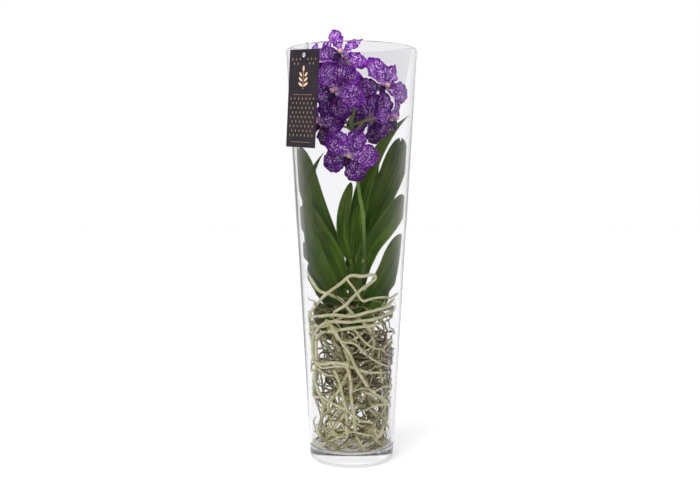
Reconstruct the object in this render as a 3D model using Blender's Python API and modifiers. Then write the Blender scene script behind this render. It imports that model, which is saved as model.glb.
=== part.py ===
"""Vanda orchid in a tall clear vase: bare roots, strap leaves in two ranks, one flower spike.

Units are metres, +Z is up, the viewer stands on the -Y side. The origin is the centre of the vase's foot.
"""

import math
import random

import bmesh
import bpy
from mathutils import Matrix, Vector

# The vase: a straight cone with a thick foot
VASE_HEIGHT = 0.600
VASE_TOP_RADIUS = 0.0950
VASE_FOOT_RADIUS = 0.0620
VASE_WALL = 0.0030
VASE_FLOOR = 0.0180
VASE_FOOT_ROUND = 0.0045
VASE_FOOT_ROUND_TOP = 1.6
VASE_FOOT_ROUND_MIDDLE = 0.3
VASE_FOOT_SWELL = 0.0004
VASE_RIM_ROUND = 0.001
VASE_CORNER_REACH = 0.006
VASE_CORNER_MIDDLE = 0.0015
VASE_CORNER_RISE = 0.007
VASE_SIDES = 48
SEAT = 0.0003

# The hang tag and its clear strap, on the rim at the front left
TAG_WIDTH = 0.056
TAG_HEIGHT = 0.134
TAG_THICKNESS = 0.0008
TAG_YAW = math.radians(-41.25)
TAG_SWING = math.radians(4)
TAG_TOP_BELOW_RIM = 0.0085
TAG_HOLE_RADIUS = 0.0025
TAG_HOLE_BELOW_TOP = 0.008
TAG_HOLE_SIDES = 16
TAG_HOLE_CUT = 0.01
TAG_STANDOFF = 0.0032
STRAP_WIDTH = 0.0036
STRAP_THICKNESS = 0.0009
STRAP_INNER_LEG = 0.020
STRAP_SLACK = 0.0004
STRAP_BEND_HEIGHT = 0.003
STRAP_BEND_DROP = 0.0007
STRAP_BEND_RUN = 0.0016
STRAP_BEND_LEAN = 0.0002
STRAP_LEG_BELOW_PIN = 0.002
STRAP_PIN_RADIUS = 0.0013
STRAP_PIN_BEYOND_TAG = 0.0016
STRAP_BUTTON_SIZE = (0.0034, 0.0034, 0.0007)

# The plant's stem, its leaf sheaths and the root crown below it
STEM_RADIUS = 0.0065
STEM_TOP_RADIUS = 0.0045
CROWN_LOW = Vector((0.002, 0.004, 0.075))
CROWN_TOP = Vector((0.002, 0.003, 0.140))
STEM_TOP = Vector((0.002, 0.001, 0.290))
SHEATH_RADIUS = 0.0055
SHEATH_END_RADIUS = 0.0032
SHEATH_RISE = 0.016
SHEATH_NECK = 0.005
SHEATH_MIDDLE = 0.6
SHEATH_MIDDLE_GIRTH = 0.9
SHEATH_NECK_GIRTH = 1.15
LEAF_THICKNESS = 0.0016
LEAF_ROWS = 9
LEAF_COLUMNS = 4
LEAF_BASE_SHARE = 0.42
LEAF_FULL_WIDTH_AT = 0.30
LEAF_WIDENING = 0.8
# Where the end of a round-tipped leaf begins, and how much later that is on a well notched one
LEAF_ROUND_FROM = 0.50
LEAF_BLUNTER = 0.30
LEAF_BLUNT_NOTCH = 0.10
LEAF_ROUND_END = 0.30
LEAF_NOTCH_LENGTH = 0.12
# The same for a pointed leaf
LEAF_POINT_FROM = 0.40
LEAF_POINT_SHAPE = 1.7
LEAF_POINT_END = 0.05
LEAF_FOLD_BASE = 28
LEAF_FOLD_LOST = 12
LEAF_FOLD_UNTIL = 0.7
LEAF_GAP = SEAT * 1.6
LEAF_CLEARANCE = 0.0022
# Below this height the leaves leave room for the roots along the glass
ROOT_ZONE_TOP = 0.262
ROOT_ZONE_FADE = 0.020
ROOT_ROOM = 0.0113

# Leaves: name, end of the sheath, two route points, tip, width,
# the way the blade's upper face looks at its base and at its tip, notch depth of the tip
LEAVES = (
    (
        "leaf_right_1", (0.007, -0.001, 0.294), (0.011, -0.001, 0.362),
        (0.034, 0.000, 0.437), (0.084, 0.003, 0.503),
        0.028, (-0.30, -1.00, 0.15), (-0.50, -1.00, 0.00), 0.00,
    ),
    (
        "leaf_right_2", (0.015, 0.011, 0.262), (0.021, 0.014, 0.334),
        (0.052, 0.016, 0.397), (0.073, 0.010, 0.470),
        0.040, (-0.10, -1.00, 0.20), (-0.30, -1.00, 0.10), 0.14,
    ),
    (
        "leaf_right_3", (0.012, -0.008, 0.241), (0.024, -0.010, 0.303),
        (0.046, -0.013, 0.336), (0.076, -0.012, 0.390),
        0.030, (-0.10, -1.00, 0.20), (-0.35, -1.00, 0.10), 0.10,
    ),
    (
        "leaf_right_4", (0.010, -0.010, 0.196), (0.030, -0.024, 0.237),
        (0.052, -0.027, 0.275), (0.073, -0.022, 0.334),
        0.034, (-0.10, -1.00, 0.25), (-0.30, -1.00, 0.10), 0.12,
    ),
    (
        "leaf_right_5", (0.010, 0.014, 0.166), (0.027, 0.020, 0.205),
        (0.046, 0.024, 0.238), (0.063, 0.022, 0.288),
        0.030, (-0.15, -1.00, 0.30), (-0.35, -1.00, 0.20), 0.10,
    ),
    (
        "leaf_left_1", (-0.012, 0.001, 0.266), (-0.035, 0.003, 0.320),
        (-0.059, 0.004, 0.383), (-0.079, 0.002, 0.458),
        0.034, (0.10, -1.00, 0.15), (0.35, -1.00, 0.10), 0.14,
    ),
    (
        "leaf_left_2", (-0.009, -0.010, 0.226), (-0.050, -0.028, 0.292),
        (-0.067, -0.033, 0.372), (-0.040, -0.042, 0.449),
        0.028, (0.30, -1.00, 0.10), (0.60, -1.00, 0.00), 0.00,
    ),
    (
        "leaf_left_3", (-0.010, -0.007, 0.247), (-0.030, -0.012, 0.299),
        (-0.051, -0.013, 0.333), (-0.072, -0.012, 0.374),
        0.034, (0.10, -1.00, 0.20), (0.35, -1.00, 0.10), 0.12,
    ),
    (
        "leaf_left_4", (-0.010, 0.009, 0.211), (-0.029, 0.009, 0.269),
        (-0.051, 0.010, 0.293), (-0.073, 0.009, 0.320),
        0.031, (0.10, -1.00, 0.25), (0.35, -1.00, 0.10), 0.12,
    ),
    (
        "leaf_left_5", (-0.011, 0.016, 0.184), (-0.031, 0.023, 0.229),
        (-0.050, 0.028, 0.251), (-0.068, 0.025, 0.284),
        0.030, (0.10, -1.00, 0.25), (0.35, -1.00, 0.10), 0.10,
    ),
    (
        "leaf_left_6", (-0.011, 0.005, 0.167), (-0.026, 0.007, 0.183),
        (-0.042, 0.008, 0.202), (-0.056, 0.007, 0.228),
        0.028, (0.10, -1.00, 0.25), (0.35, -1.00, 0.10), 0.10,
    ),
    (
        "leaf_top_left", (-0.001, -0.008, 0.290), (-0.014, -0.006, 0.330),
        (-0.011, -0.010, 0.370), (-0.001, -0.013, 0.406),
        0.020, (0.25, -1.00, 0.10), (0.35, -1.00, 0.00), 0.01,
    ),
    (
        "leaf_top_right", (-0.004, 0.018, 0.278), (0.010, 0.027, 0.345),
        (0.022, 0.030, 0.398), (0.037, 0.028, 0.455),
        0.030, (-0.15, -1.00, 0.10), (-0.30, -1.00, 0.00), 0.08,
    ),
)

# The flower spike: route of the stalk from its leaf axil to the top bloom
SPIKE_ROUTE = (
    (0.0000, -0.0112, 0.2340), (0.0020, -0.0205, 0.2445), (0.0100, -0.0255, 0.2600),
    (0.0172, -0.0250, 0.2850), (0.0180, -0.0235, 0.3160), (0.0165, -0.0200, 0.3580),
    (0.0105, -0.015, 0.394), (0.004, -0.008, 0.450), (-0.001, -0.002, 0.493), (0.002, 0.001, 0.520),
    (0.000, 0.001, 0.550), (-0.005, -0.004, 0.578),
)
SPIKE_RADIUS = 0.0032
PEDICEL_RADIUS = 0.0017
STUB_RADIUS = 0.0034
STUB_BELOW_STALK = 0.006
STUB_END = 0.004
STUB_GAP = SEAT * 2.5
STALK_STEP = 0.022
STALK_TAPER = 0.42
JOINT_HEIGHTS = (0.290, 0.357, 0.425)
JOINT_SIZE = (0.0043, 0.0043, 0.0026)
PEDICEL_OUTWARDS = 0.30
PEDICEL_RISE = 0.004
PEDICEL_APPROACH = 0.014
PEDICEL_WAIST = 0.25

# Blooms: name, centre, the way it faces, roll in degrees, radius, height where its pedicel starts
BLOOMS = (
    ("bloom_1", (-0.014, -0.046, 0.587), (-0.16, -0.97, 0.14), -48, 0.040, 0.570),
    ("bloom_2", (-0.021, -0.032, 0.536), (-0.50, -0.86, -0.06), -38, 0.044, 0.523),
    ("bloom_3", (-0.003, -0.048, 0.4455), (-0.06, -1.00, -0.10), -24, 0.0405, 0.452),
    ("bloom_4", (0.046, -0.007, 0.543), (0.50, -0.86, 0.08), -40, 0.045, 0.524),
    ("bloom_5", (0.054, -0.034, 0.499), (0.86, -0.50, -0.04), 16, 0.035, 0.488),
    ("bloom_6", (0.029, 0.027, 0.498), (0.50, 0.86, 0.02), 25, 0.040, 0.476),
    ("bloom_7", (-0.046, 0.001, 0.493), (-0.50, -0.86, -0.06), -25, 0.039, 0.482),
    ("bloom_8", (-0.043, 0.006, 0.580), (-0.78, -0.60, 0.14), -12, 0.038, 0.552),
    ("bloom_9", (-0.022, 0.048, 0.548), (-0.10, 0.99, 0.05), 10, 0.040, 0.536),
)
# How much narrower the tepals of some blooms are
SLIM_BLOOMS = {"bloom_1": 0.60, "bloom_4": 0.80, "bloom_5": 0.82, "bloom_8": 0.80}
TEPAL_THICKNESS = 0.0009
TEPAL_END_SHARE = 0.34
TEPAL_CLAW = 0.24
TEPAL_WIDEST_AT = 0.60
TEPAL_TIP_DROP = 0.04
# Where a tepal starts, in radii of the heart, and its waves, keel, arch and backward bend in tepal lengths
TEPAL_START = 0.35
TEPAL_WAVE = 0.040
TEPAL_WAVE_TURNS = 2.3
TEPAL_OTHER_EDGE = 1.25
TEPAL_KEEL = 0.06
TEPAL_ARCH = 0.10
TEPAL_ARCH_LENGTH = 0.9
TEPAL_REFLEX = 0.13
TEPAL_PHASE_STEP = 1.7
TEPAL_ROWS = (0.0, 0.28, 0.56, 0.82, 1.0)
TEPAL_COLUMNS = (-1.0, 0.0, 1.0)
# Tepals: direction round the bloom, length and width as shares of the bloom's radius, depth behind the face
TEPALS = (
    (90, 0.93, 0.72, -0.0042),
    (22, 1.00, 0.86, 0.0010),
    (158, 1.00, 0.86, 0.0010),
    (-46, 0.97, 0.80, -0.0042),
    (-134, 0.97, 0.80, -0.0042),
)
HEART_RADIUS = 0.0034
HEART_LONGER = 1.5
# The column and the lip in front of the heart: centre, half sizes, long axis
COLUMN = ((0.0, 0.0014, 0.0066), (0.0032, 0.0032, 0.0054), (0, 0.25, 1))
LIP = ((0.0, -0.0072, 0.0062), (0.0044, 0.0017, 0.0080), (0, -0.80, 0.62))

# Roots: routes on the inside of the glass as (bearing in degrees from the front, height, inset from the wall)
ROOT_RADIUS = 0.0023
ROOT_SIDES_RESOLUTION = 1
ROOT_STEP = 0.018
FIRST_ROOT_LEAVES_AT = 0.080
NEXT_ROOT_ABOVE = 0.0034
ROOT_ROUTES = (
    ((-100, 0.150, 0.012), (-84, 0.185, 0.008), (-70, 0.212, 0.006), (-57, 0.227, 0.006), (-33, 0.250, 0.006),
     (-12, 0.268, 0.006), (-1, 0.279, 0.006), (12, 0.277, 0.006), (25, 0.279, 0.006), (30, 0.274, 0.007),
     (12, 0.258, 0.008), (-6, 0.239, 0.008), (-20, 0.227, 0.010), (-32, 0.215, 0.014)),
    ((44, 0.150, 0.026), (34, 0.185, 0.015), (21, 0.204, 0.012), (1, 0.224, 0.013), (-14, 0.241, 0.014),
     (-29, 0.249, 0.013), (-45, 0.254, 0.009), (-56, 0.262, 0.008), (-71, 0.279, 0.007)),
    ((120, 0.160, 0.010), (-165, 0.185, 0.008), (-110, 0.195, 0.007), (-68, 0.212, 0.006),
     (-28, 0.221, 0.006), (0, 0.221, 0.006), (31, 0.228, 0.006), (52, 0.233, 0.006), (75, 0.238, 0.008)),
    ((-100, 0.130, 0.012), (-75, 0.158, 0.011), (-62, 0.190, 0.009), (-29, 0.211, 0.007), (1, 0.212, 0.007),
     (32, 0.216, 0.007), (54, 0.220, 0.007), (90, 0.222, 0.008), (130, 0.210, 0.008)),
    ((-84, 0.090, 0.008), (-66, 0.120, 0.008), (-58, 0.160, 0.008), (-52, 0.188, 0.010), (-24, 0.198, 0.009),
     (2, 0.203, 0.010), (30, 0.206, 0.010), (48, 0.205, 0.012)),
    ((-37, 0.211, 0.011), (-10, 0.179, 0.006), (6, 0.147, 0.006), (20, 0.120, 0.006), (42, 0.100, 0.006),
     (63, 0.088, 0.007), (82, 0.086, 0.010)),
    ((-88, 0.196, 0.010), (-72, 0.166, 0.008), (-56, 0.146, 0.008), (-24, 0.152, 0.008), (1, 0.146, 0.010),
     (24, 0.138, 0.008), (48, 0.134, 0.008)),
    ((-72, 0.128, 0.010), (-60, 0.108, 0.008), (-47, 0.089, 0.008), (-51, 0.067, 0.008), (-66, 0.047, 0.009),
     (-62, 0.036, 0.010), (-48, 0.030, 0.012), (-20, 0.022, 0.014)),
    ((-8, 0.150, 0.014), (-2, 0.128, 0.008), (1, 0.091, 0.008), (9, 0.041, 0.009), (24, 0.024, 0.012)),
    ((-26, 0.140, 0.012), (-17, 0.120, 0.008), (-10, 0.091, 0.008), (-7, 0.044, 0.009), (-18, 0.024, 0.012)),
    ((20, 0.110, 0.016), (32, 0.103, 0.009), (52, 0.094, 0.008), (60, 0.081, 0.009), (46, 0.070, 0.010),
     (30, 0.080, 0.012)),
    ((112, 0.150, 0.014), (88, 0.172, 0.009), (62, 0.178, 0.009), (44, 0.160, 0.011), (52, 0.124, 0.012),
     (74, 0.084, 0.010), (56, 0.045, 0.010), (26, 0.026, 0.012)),
    ((44, 0.070, 0.014), (40, 0.050, 0.014), (52, 0.036, 0.012), (70, 0.050, 0.010), (76, 0.076, 0.008),
     (66, 0.096, 0.010)),
    ((-10, 0.170, 0.016), (-4, 0.140, 0.016), (-22, 0.110, 0.014), (-40, 0.084, 0.012), (-34, 0.052, 0.012),
     (-14, 0.034, 0.012)),
)
ROOT_BOW = 0.006
ROOT_SWELL = 0.08
ROOT_SWELL_STEP = 2.1
ROOT_END_GIRTH = 0.55
CROWN_RADII = (0.0045, 0.0070, 0.0075)
CROWN_USED = (0.04, 0.92)
# Roots drawn by chance: where they leave the crown, how they turn, sink and drift as they wind down the glass
WANDERING_ROOTS = 8
WANDERERS_LEAVE_AT = (0.090, 0.128)
WANDER_GIRTH = (0.75, 1.05)
WANDER_TURN = (16, 34)
WANDER_UNEVEN = (0.6, 1.4)
WANDER_FIRST_RISE = (-0.004, 0.012)
WANDER_SINK = (0.016, 0.030)
WANDER_FIRST_INSET = (0.024, 0.034)
WANDER_DRIFT = (-0.013, 0.009)
WANDER_INSET = (0.007, 0.050)
WANDER_LOWEST = 0.034
WANDER_LANDING_HEIGHT = 0.0225
WANDER_LANDING_INSET = 0.012
WANDER_END_INSET = 0.013
WANDER_END_TURNS = 2.2
ROOT_SEED = 9

COLOURS = {
    "vase": ((0.92, 0.94, 0.96), 0.03, 0.0),
    "tag": ((0.022, 0.017, 0.024), 0.55, 0.0),
    "tag_strap": ((0.90, 0.91, 0.93), 0.12, 0.0),
    "stem": ((0.10, 0.20, 0.05), 0.50, 0.0),
    "leaf": ((0.075, 0.155, 0.030), 0.45, 0.0),
    "flower_spike": ((0.16, 0.29, 0.07), 0.50, 0.0),
    "bloom": ((0.155, 0.030, 0.340), 0.55, 0.0),
    "roots": ((0.47, 0.46, 0.30), 0.80, 0.0),
}

PARTS = bpy.data.collections.new("vanda_orchid")


def clear_scene():
    for obj in list(bpy.data.objects):
        bpy.data.objects.remove(obj, do_unlink=True)
    bpy.context.scene.collection.children.link(PARTS)


def material(kind):
    """The Principled material of one kind of piece, made once."""
    found = bpy.data.materials.get(kind)
    if found:
        return found
    colour, roughness, metallic = COLOURS[kind]
    made = bpy.data.materials.new(kind)
    made.use_nodes = True
    shader = made.node_tree.nodes["Principled BSDF"]
    shader.inputs["Base Color"].default_value = (*colour, 1.0)
    shader.inputs["Roughness"].default_value = roughness
    shader.inputs["Metallic"].default_value = metallic
    return made


def mesh_object(name, mesh, kind=None, collection=PARTS):
    obj = bpy.data.objects.new(name, mesh)
    collection.objects.link(obj)
    if kind:
        obj.data.materials.append(material(kind))
    return obj


def wall_radius(height):
    """Inner radius of the glass at a height."""
    slope = (VASE_TOP_RADIUS - VASE_FOOT_RADIUS) / VASE_HEIGHT
    return VASE_FOOT_RADIUS + slope * height - VASE_WALL


def on_wall(bearing, height, inset):
    """A point inside the glass: bearing in degrees from the front, positive to the right."""
    radius = wall_radius(height) - inset
    angle = math.radians(bearing)
    return Vector((radius * math.sin(angle), -radius * math.cos(angle), height))


def smooth_route(points, step):
    """Points about a step apart on the Catmull-Rom curve through the given points."""
    points = [Vector(p) for p in points]
    ends = [points[0] * 2 - points[1]] + points + [points[-1] * 2 - points[-2]]
    route = [points[0]]
    for before, start, end, after in zip(ends, ends[1:], ends[2:], ends[3:]):
        count = max(1, round((end - start).length / step))
        for i in range(1, count + 1):
            t = i / count
            route.append(0.5 * (
                2 * start
                + (end - before) * t
                + (2 * before - 5 * start + 4 * end - after) * t**2
                + (3 * start - before - 3 * end + after) * t**3
            ))
    return route


def tube(name, route, radii, resolution, collection):
    """A closed mesh tube along a route, made from a curve with a bevel and filled caps."""
    curve = bpy.data.curves.new(name, "CURVE")
    curve.dimensions = "3D"
    curve.bevel_depth = 1.0
    curve.bevel_resolution = resolution
    curve.use_fill_caps = True
    spline = curve.splines.new("POLY")
    spline.points.add(len(route) - 1)
    for point, place, radius in zip(spline.points, route, radii):
        point.co = (*place, 1.0)
        point.radius = radius
    source = mesh_object(name + "_curve", curve, collection=collection)
    bpy.context.view_layer.update()
    graph = bpy.context.evaluated_depsgraph_get()
    mesh = bpy.data.meshes.new_from_object(source.evaluated_get(graph))
    weld = bmesh.new()
    weld.from_mesh(mesh)
    bmesh.ops.remove_doubles(weld, verts=weld.verts, dist=1e-6)
    bmesh.ops.recalc_face_normals(weld, faces=weld.faces)
    weld.to_mesh(mesh)
    weld.free()
    bpy.data.objects.remove(source)
    mesh.name = name
    return mesh_object(name, mesh, collection=collection)


def grid_mesh(name, rows):
    """An open sheet through rows of points, all of one length."""
    sheet = bmesh.new()
    verts = [[sheet.verts.new(p) for p in row] for row in rows]
    for low, high in zip(verts, verts[1:]):
        for j in range(len(low) - 1):
            sheet.faces.new((low[j], low[j + 1], high[j + 1], high[j]))
    mesh = bpy.data.meshes.new(name)
    sheet.to_mesh(mesh)
    sheet.free()
    return mesh


def solid_sheet(name, rows, thickness, collection):
    """The sheet through rows of points, thickened evenly, with its faces split alike on both sides."""
    mesh = grid_mesh(name, rows)
    split = bmesh.new()
    split.from_mesh(mesh)
    bmesh.ops.triangulate(split, faces=split.faces, quad_method="FIXED")
    split.to_mesh(mesh)
    split.free()
    obj = mesh_object(name, mesh, collection=collection)
    solidify = obj.modifiers.new("Solidify", "SOLIDIFY")
    solidify.thickness = thickness
    solidify.offset = 0.0
    return obj


def apply_modifiers(obj):
    bpy.context.view_layer.update()
    graph = bpy.context.evaluated_depsgraph_get()
    mesh = bpy.data.meshes.new_from_object(obj.evaluated_get(graph))
    obj.modifiers.clear()
    obj.data = mesh
    return obj


def helpers(name):
    """A collection for pieces that are to be joined into one."""
    made = bpy.data.collections.new(name)
    bpy.context.scene.collection.children.link(made)
    return made


def drop_crumbs(mesh):
    """Keeps only the largest shell of a mesh: faces that meet two by two along their edges."""
    work = bmesh.new()
    work.from_mesh(mesh)
    left = set(work.faces)
    shells = []
    while left:
        shell = {left.pop()}
        newest = shell
        while newest:
            edges = {e for face in newest for e in face.edges if len(e.link_faces) == 2}
            newest = {face for e in edges for face in e.link_faces} - shell
            shell = shell | newest
        left -= shell
        shells.append(shell)
    shells.sort(key=len)
    bmesh.ops.delete(work, geom=[face for shell in shells[:-1] for face in shell], context="FACES")
    work.to_mesh(mesh)
    work.free()


def join(name, base, others, kind, solver="EXACT"):
    """One solid from a base and a collection of closed pieces, which is then removed."""
    union = base.modifiers.new("Union", "BOOLEAN")
    union.operation = "UNION"
    union.operand_type = "COLLECTION"
    union.collection = others
    union.solver = solver
    apply_modifiers(base)
    drop_crumbs(base.data)
    for piece in list(others.objects):
        bpy.data.objects.remove(piece, do_unlink=True)
    bpy.data.collections.remove(others)
    base.name = name
    base.data.name = name
    base.data.materials.clear()
    base.data.materials.append(material(kind))
    return base


def ellipsoid(name, centre, radii, axis, collection, segments=6, rings=4):
    """A small round body with its long axis turned to the given direction."""
    mesh = bpy.data.meshes.new(name)
    body = bmesh.new()
    bmesh.ops.create_uvsphere(body, u_segments=segments, v_segments=rings, radius=1.0)
    turn = Vector(axis).to_track_quat("Z", "Y").to_matrix().to_4x4()
    body.transform(Matrix.Translation(centre) @ turn @ Matrix.Diagonal((*radii, 1.0)))
    body.to_mesh(mesh)
    body.free()
    return mesh_object(name, mesh, collection=collection)


def make_vase():
    """A turned glass cone: down its outer side, round the foot, and up inside from the thick floor."""
    inner_floor = wall_radius(VASE_FLOOR)
    half_wall = VASE_WALL / 2
    foot_middle = VASE_FOOT_ROUND * VASE_FOOT_ROUND_MIDDLE
    outline = [
        (0.0, VASE_FLOOR),
        (inner_floor - VASE_CORNER_REACH, VASE_FLOOR),
        (inner_floor - VASE_CORNER_MIDDLE, VASE_FLOOR + VASE_CORNER_MIDDLE),
        (wall_radius(VASE_FLOOR + VASE_CORNER_RISE), VASE_FLOOR + VASE_CORNER_RISE),
        (wall_radius(VASE_HEIGHT), VASE_HEIGHT - VASE_RIM_ROUND),
        (VASE_TOP_RADIUS - half_wall, VASE_HEIGHT),
        (VASE_TOP_RADIUS, VASE_HEIGHT - VASE_RIM_ROUND),
        (VASE_FOOT_RADIUS + VASE_FOOT_SWELL, VASE_FOOT_ROUND * VASE_FOOT_ROUND_TOP),
        (VASE_FOOT_RADIUS - foot_middle, foot_middle),
        (VASE_FOOT_RADIUS - VASE_FOOT_ROUND, 0.0),
        (0.0, 0.0),
    ]
    profile = bmesh.new()
    verts = [profile.verts.new((radius, 0.0, height)) for radius, height in reversed(outline)]
    for low, high in zip(verts, verts[1:]):
        profile.edges.new((low, high))
    mesh = bpy.data.meshes.new("vase")
    profile.to_mesh(mesh)
    profile.free()
    vase = mesh_object("vase", mesh, "vase")
    screw = vase.modifiers.new("Screw", "SCREW")
    screw.steps = VASE_SIDES
    screw.render_steps = VASE_SIDES
    screw.use_merge_vertices = True
    screw.merge_threshold = 0.00001
    screw.use_normal_flip = True
    return vase


def tag_frame():
    """Where the tag hangs: its origin is on the rim's outer edge, X across, Z up, -Y away from the glass."""
    turn = Matrix.Rotation(TAG_YAW, 4, "Z")
    flat = VASE_TOP_RADIUS * math.cos(math.pi / VASE_SIDES)
    return turn @ Matrix.Translation((0.0, -flat, VASE_HEIGHT))


def make_tag():
    """A card that hangs from its strap just outside the glass, swung a little to the left."""
    hole_height = -TAG_TOP_BELOW_RIM - TAG_HOLE_BELOW_TOP
    pivot = tag_frame() @ Matrix.Translation((0.0, -TAG_STANDOFF, hole_height))
    card_mesh = bpy.data.meshes.new("tag")
    card = bmesh.new()
    bmesh.ops.create_cube(card, size=1.0)
    card.transform(
        Matrix.Translation((0.0, 0.0, TAG_HOLE_BELOW_TOP - TAG_HEIGHT / 2))
        @ Matrix.Diagonal((TAG_WIDTH, TAG_THICKNESS, TAG_HEIGHT, 1.0))
    )
    card.to_mesh(card_mesh)
    card.free()
    tag = mesh_object("tag", card_mesh, "tag")
    tag.matrix_world = pivot @ Matrix.Rotation(TAG_SWING, 4, "Y")
    punch_mesh = bpy.data.meshes.new("tag_hole")
    punch = bmesh.new()
    bmesh.ops.create_cone(
        punch, cap_ends=True, segments=TAG_HOLE_SIDES,
        radius1=TAG_HOLE_RADIUS, radius2=TAG_HOLE_RADIUS, depth=TAG_HOLE_CUT,
    )
    punch.to_mesh(punch_mesh)
    punch.free()
    cutters = helpers("cutters")
    hole = mesh_object("tag_hole", punch_mesh, collection=cutters)
    hole.matrix_world = pivot @ Matrix.Rotation(math.pi / 2, 4, "X")
    hole.hide_render = True
    hole.display_type = "WIRE"
    cut = tag.modifiers.new("Hole", "BOOLEAN")
    cut.operation = "DIFFERENCE"
    cut.object = hole
    return tag


def make_tag_strap():
    """A clear plastic strip over the rim: a leg inside, one behind the card, a button through its hole."""
    half = STRAP_THICKNESS / 2
    lean = (VASE_TOP_RADIUS - VASE_FOOT_RADIUS) / VASE_HEIGHT
    inner = VASE_WALL + SEAT + half
    outer = -SEAT - half - STRAP_SLACK
    top = SEAT + half
    hole_height = -TAG_TOP_BELOW_RIM - TAG_HOLE_BELOW_TOP
    route = [
        (inner + lean * STRAP_INNER_LEG, -STRAP_INNER_LEG),
        (inner + SEAT, -STRAP_BEND_HEIGHT),
        (inner - STRAP_SLACK, top - STRAP_BEND_DROP),
        (inner - STRAP_BEND_RUN, top),
        (outer + STRAP_BEND_RUN, top),
        (outer + STRAP_BEND_LEAN, top - STRAP_BEND_DROP),
        (outer, -STRAP_BEND_HEIGHT),
        (outer, hole_height - STRAP_LEG_BELOW_PIN),
    ]
    base = solid_sheet(
        "tag_strap",
        [[(side * STRAP_WIDTH / 2, y, z) for side in (-1, 1)] for y, z in route],
        STRAP_THICKNESS,
        PARTS,
    )
    apply_modifiers(base)
    knob = helpers("strap_knob")
    pin_length = TAG_STANDOFF + TAG_THICKNESS / 2 + STRAP_PIN_BEYOND_TAG
    ellipsoid(
        "strap_pin", Vector((0, -pin_length / 2 - STRAP_SLACK, hole_height)),
        (STRAP_PIN_RADIUS, STRAP_PIN_RADIUS, pin_length / 2), (0, -1, 0), knob,
    )
    button_y = -TAG_STANDOFF - TAG_THICKNESS / 2 - SEAT - STRAP_BUTTON_SIZE[2]
    ellipsoid(
        "strap_button", Vector((0, button_y, hole_height)), STRAP_BUTTON_SIZE, (0, -1, 0), knob,
        segments=12, rings=4,
    )
    strap = join("tag_strap", base, knob, "tag_strap")
    strap.matrix_world = tag_frame()
    return strap


def stem_point(height):
    share = (height - CROWN_TOP.z) / (STEM_TOP.z - CROWN_TOP.z)
    return CROWN_TOP.lerp(STEM_TOP, share)


def bezier(p0, p1, p2, p3, t):
    s = 1 - t
    return p0 * s**3 + p1 * (3 * s * s * t) + p2 * (3 * s * t * t) + p3 * t**3


def cubic_through(start, middle_1, middle_2, tip):
    """The four control points of the cubic that passes both middle points at one and two thirds."""
    m1, m2, end = Vector(middle_1), Vector(middle_2), Vector(tip)
    control_1 = (18 * m1 - 9 * m2 - 5 * start + 2 * end) / 6
    control_2 = (18 * m2 - 9 * m1 - 5 * end + 2 * start) / 6
    return start, control_1, control_2, end


def blade_start(base, middle_1, middle_2, tip):
    """The end of a leaf's sheath and the way that its blade goes on from there."""
    start, control, _, _ = cubic_through(Vector(base), middle_1, middle_2, tip)
    return start, (control - start).normalized()


def make_stem():
    """The leafy stem: a core with leaf sheaths that lean left and right, and the stub of the flower stalk."""
    sheaths = helpers("sheaths")
    start = CROWN_TOP + Vector((0, 0, SEAT))
    middle_radius = (STEM_RADIUS + STEM_TOP_RADIUS) / 2
    core_route = [start, start.lerp(STEM_TOP, 0.5), STEM_TOP]
    core = tube("stem", core_route, [STEM_RADIUS, middle_radius, STEM_TOP_RADIUS], 2, PARTS)
    for name, base, middle_1, middle_2, tip, *_ in LEAVES:
        end, ahead = blade_start(base, middle_1, middle_2, tip)
        root = stem_point(end.z - SHEATH_RISE)
        neck = end - ahead * SHEATH_NECK
        route = [root, root.lerp(neck, SHEATH_MIDDLE), neck, end]
        widths = [
            SHEATH_RADIUS,
            SHEATH_RADIUS * SHEATH_MIDDLE_GIRTH,
            SHEATH_END_RADIUS * SHEATH_NECK_GIRTH,
            SHEATH_END_RADIUS,
        ]
        tube(name + "_sheath", route, widths, 1, sheaths)
    foot = Vector(SPIKE_ROUTE[0])
    onward = (Vector(SPIKE_ROUTE[1]) - foot).normalized()
    stub = [stem_point(foot.z - STUB_BELOW_STALK), foot - onward * STUB_END, foot - onward * STUB_GAP]
    tube("spike_stub", stub, [STUB_RADIUS] * 3, 1, sheaths)
    return join("stem", core, sheaths, "stem")


def leaf_half_width(t, width, notch):
    """Half the blade's width along its length: narrow base, a long strap, then a round or pointed tip."""
    widening = LEAF_BASE_SHARE + (1 - LEAF_BASE_SHARE) * min(1.0, t / LEAF_FULL_WIDTH_AT) ** LEAF_WIDENING
    if notch:
        start = LEAF_ROUND_FROM + LEAF_BLUNTER * min(1.0, notch / LEAF_BLUNT_NOTCH)
        tip = max(0.0, 1 - ((t - start) / (1 - start)) ** 2) ** 0.5 if t > start else 1.0
        tip = max(tip, LEAF_ROUND_END)
    else:
        beyond = max(0.0, (t - LEAF_POINT_FROM) / (1 - LEAF_POINT_FROM))
        tip = max(LEAF_POINT_END, 1 - beyond**LEAF_POINT_SHAPE)
    return width / 2 * widening * tip


def inside_glass(point):
    """The point itself, or the nearest one that keeps a leaf clear of the glass and of the roots along it."""
    room = LEAF_CLEARANCE + ROOT_ROOM * min(1.0, max(0.0, (ROOT_ZONE_TOP - point.z) / ROOT_ZONE_FADE))
    limit = (wall_radius(point.z) - room) * math.cos(math.pi / VASE_SIDES)
    reach = math.hypot(point.x, point.y)
    if reach > limit:
        return Vector((point.x * limit / reach, point.y * limit / reach, point.z))
    return point


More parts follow.
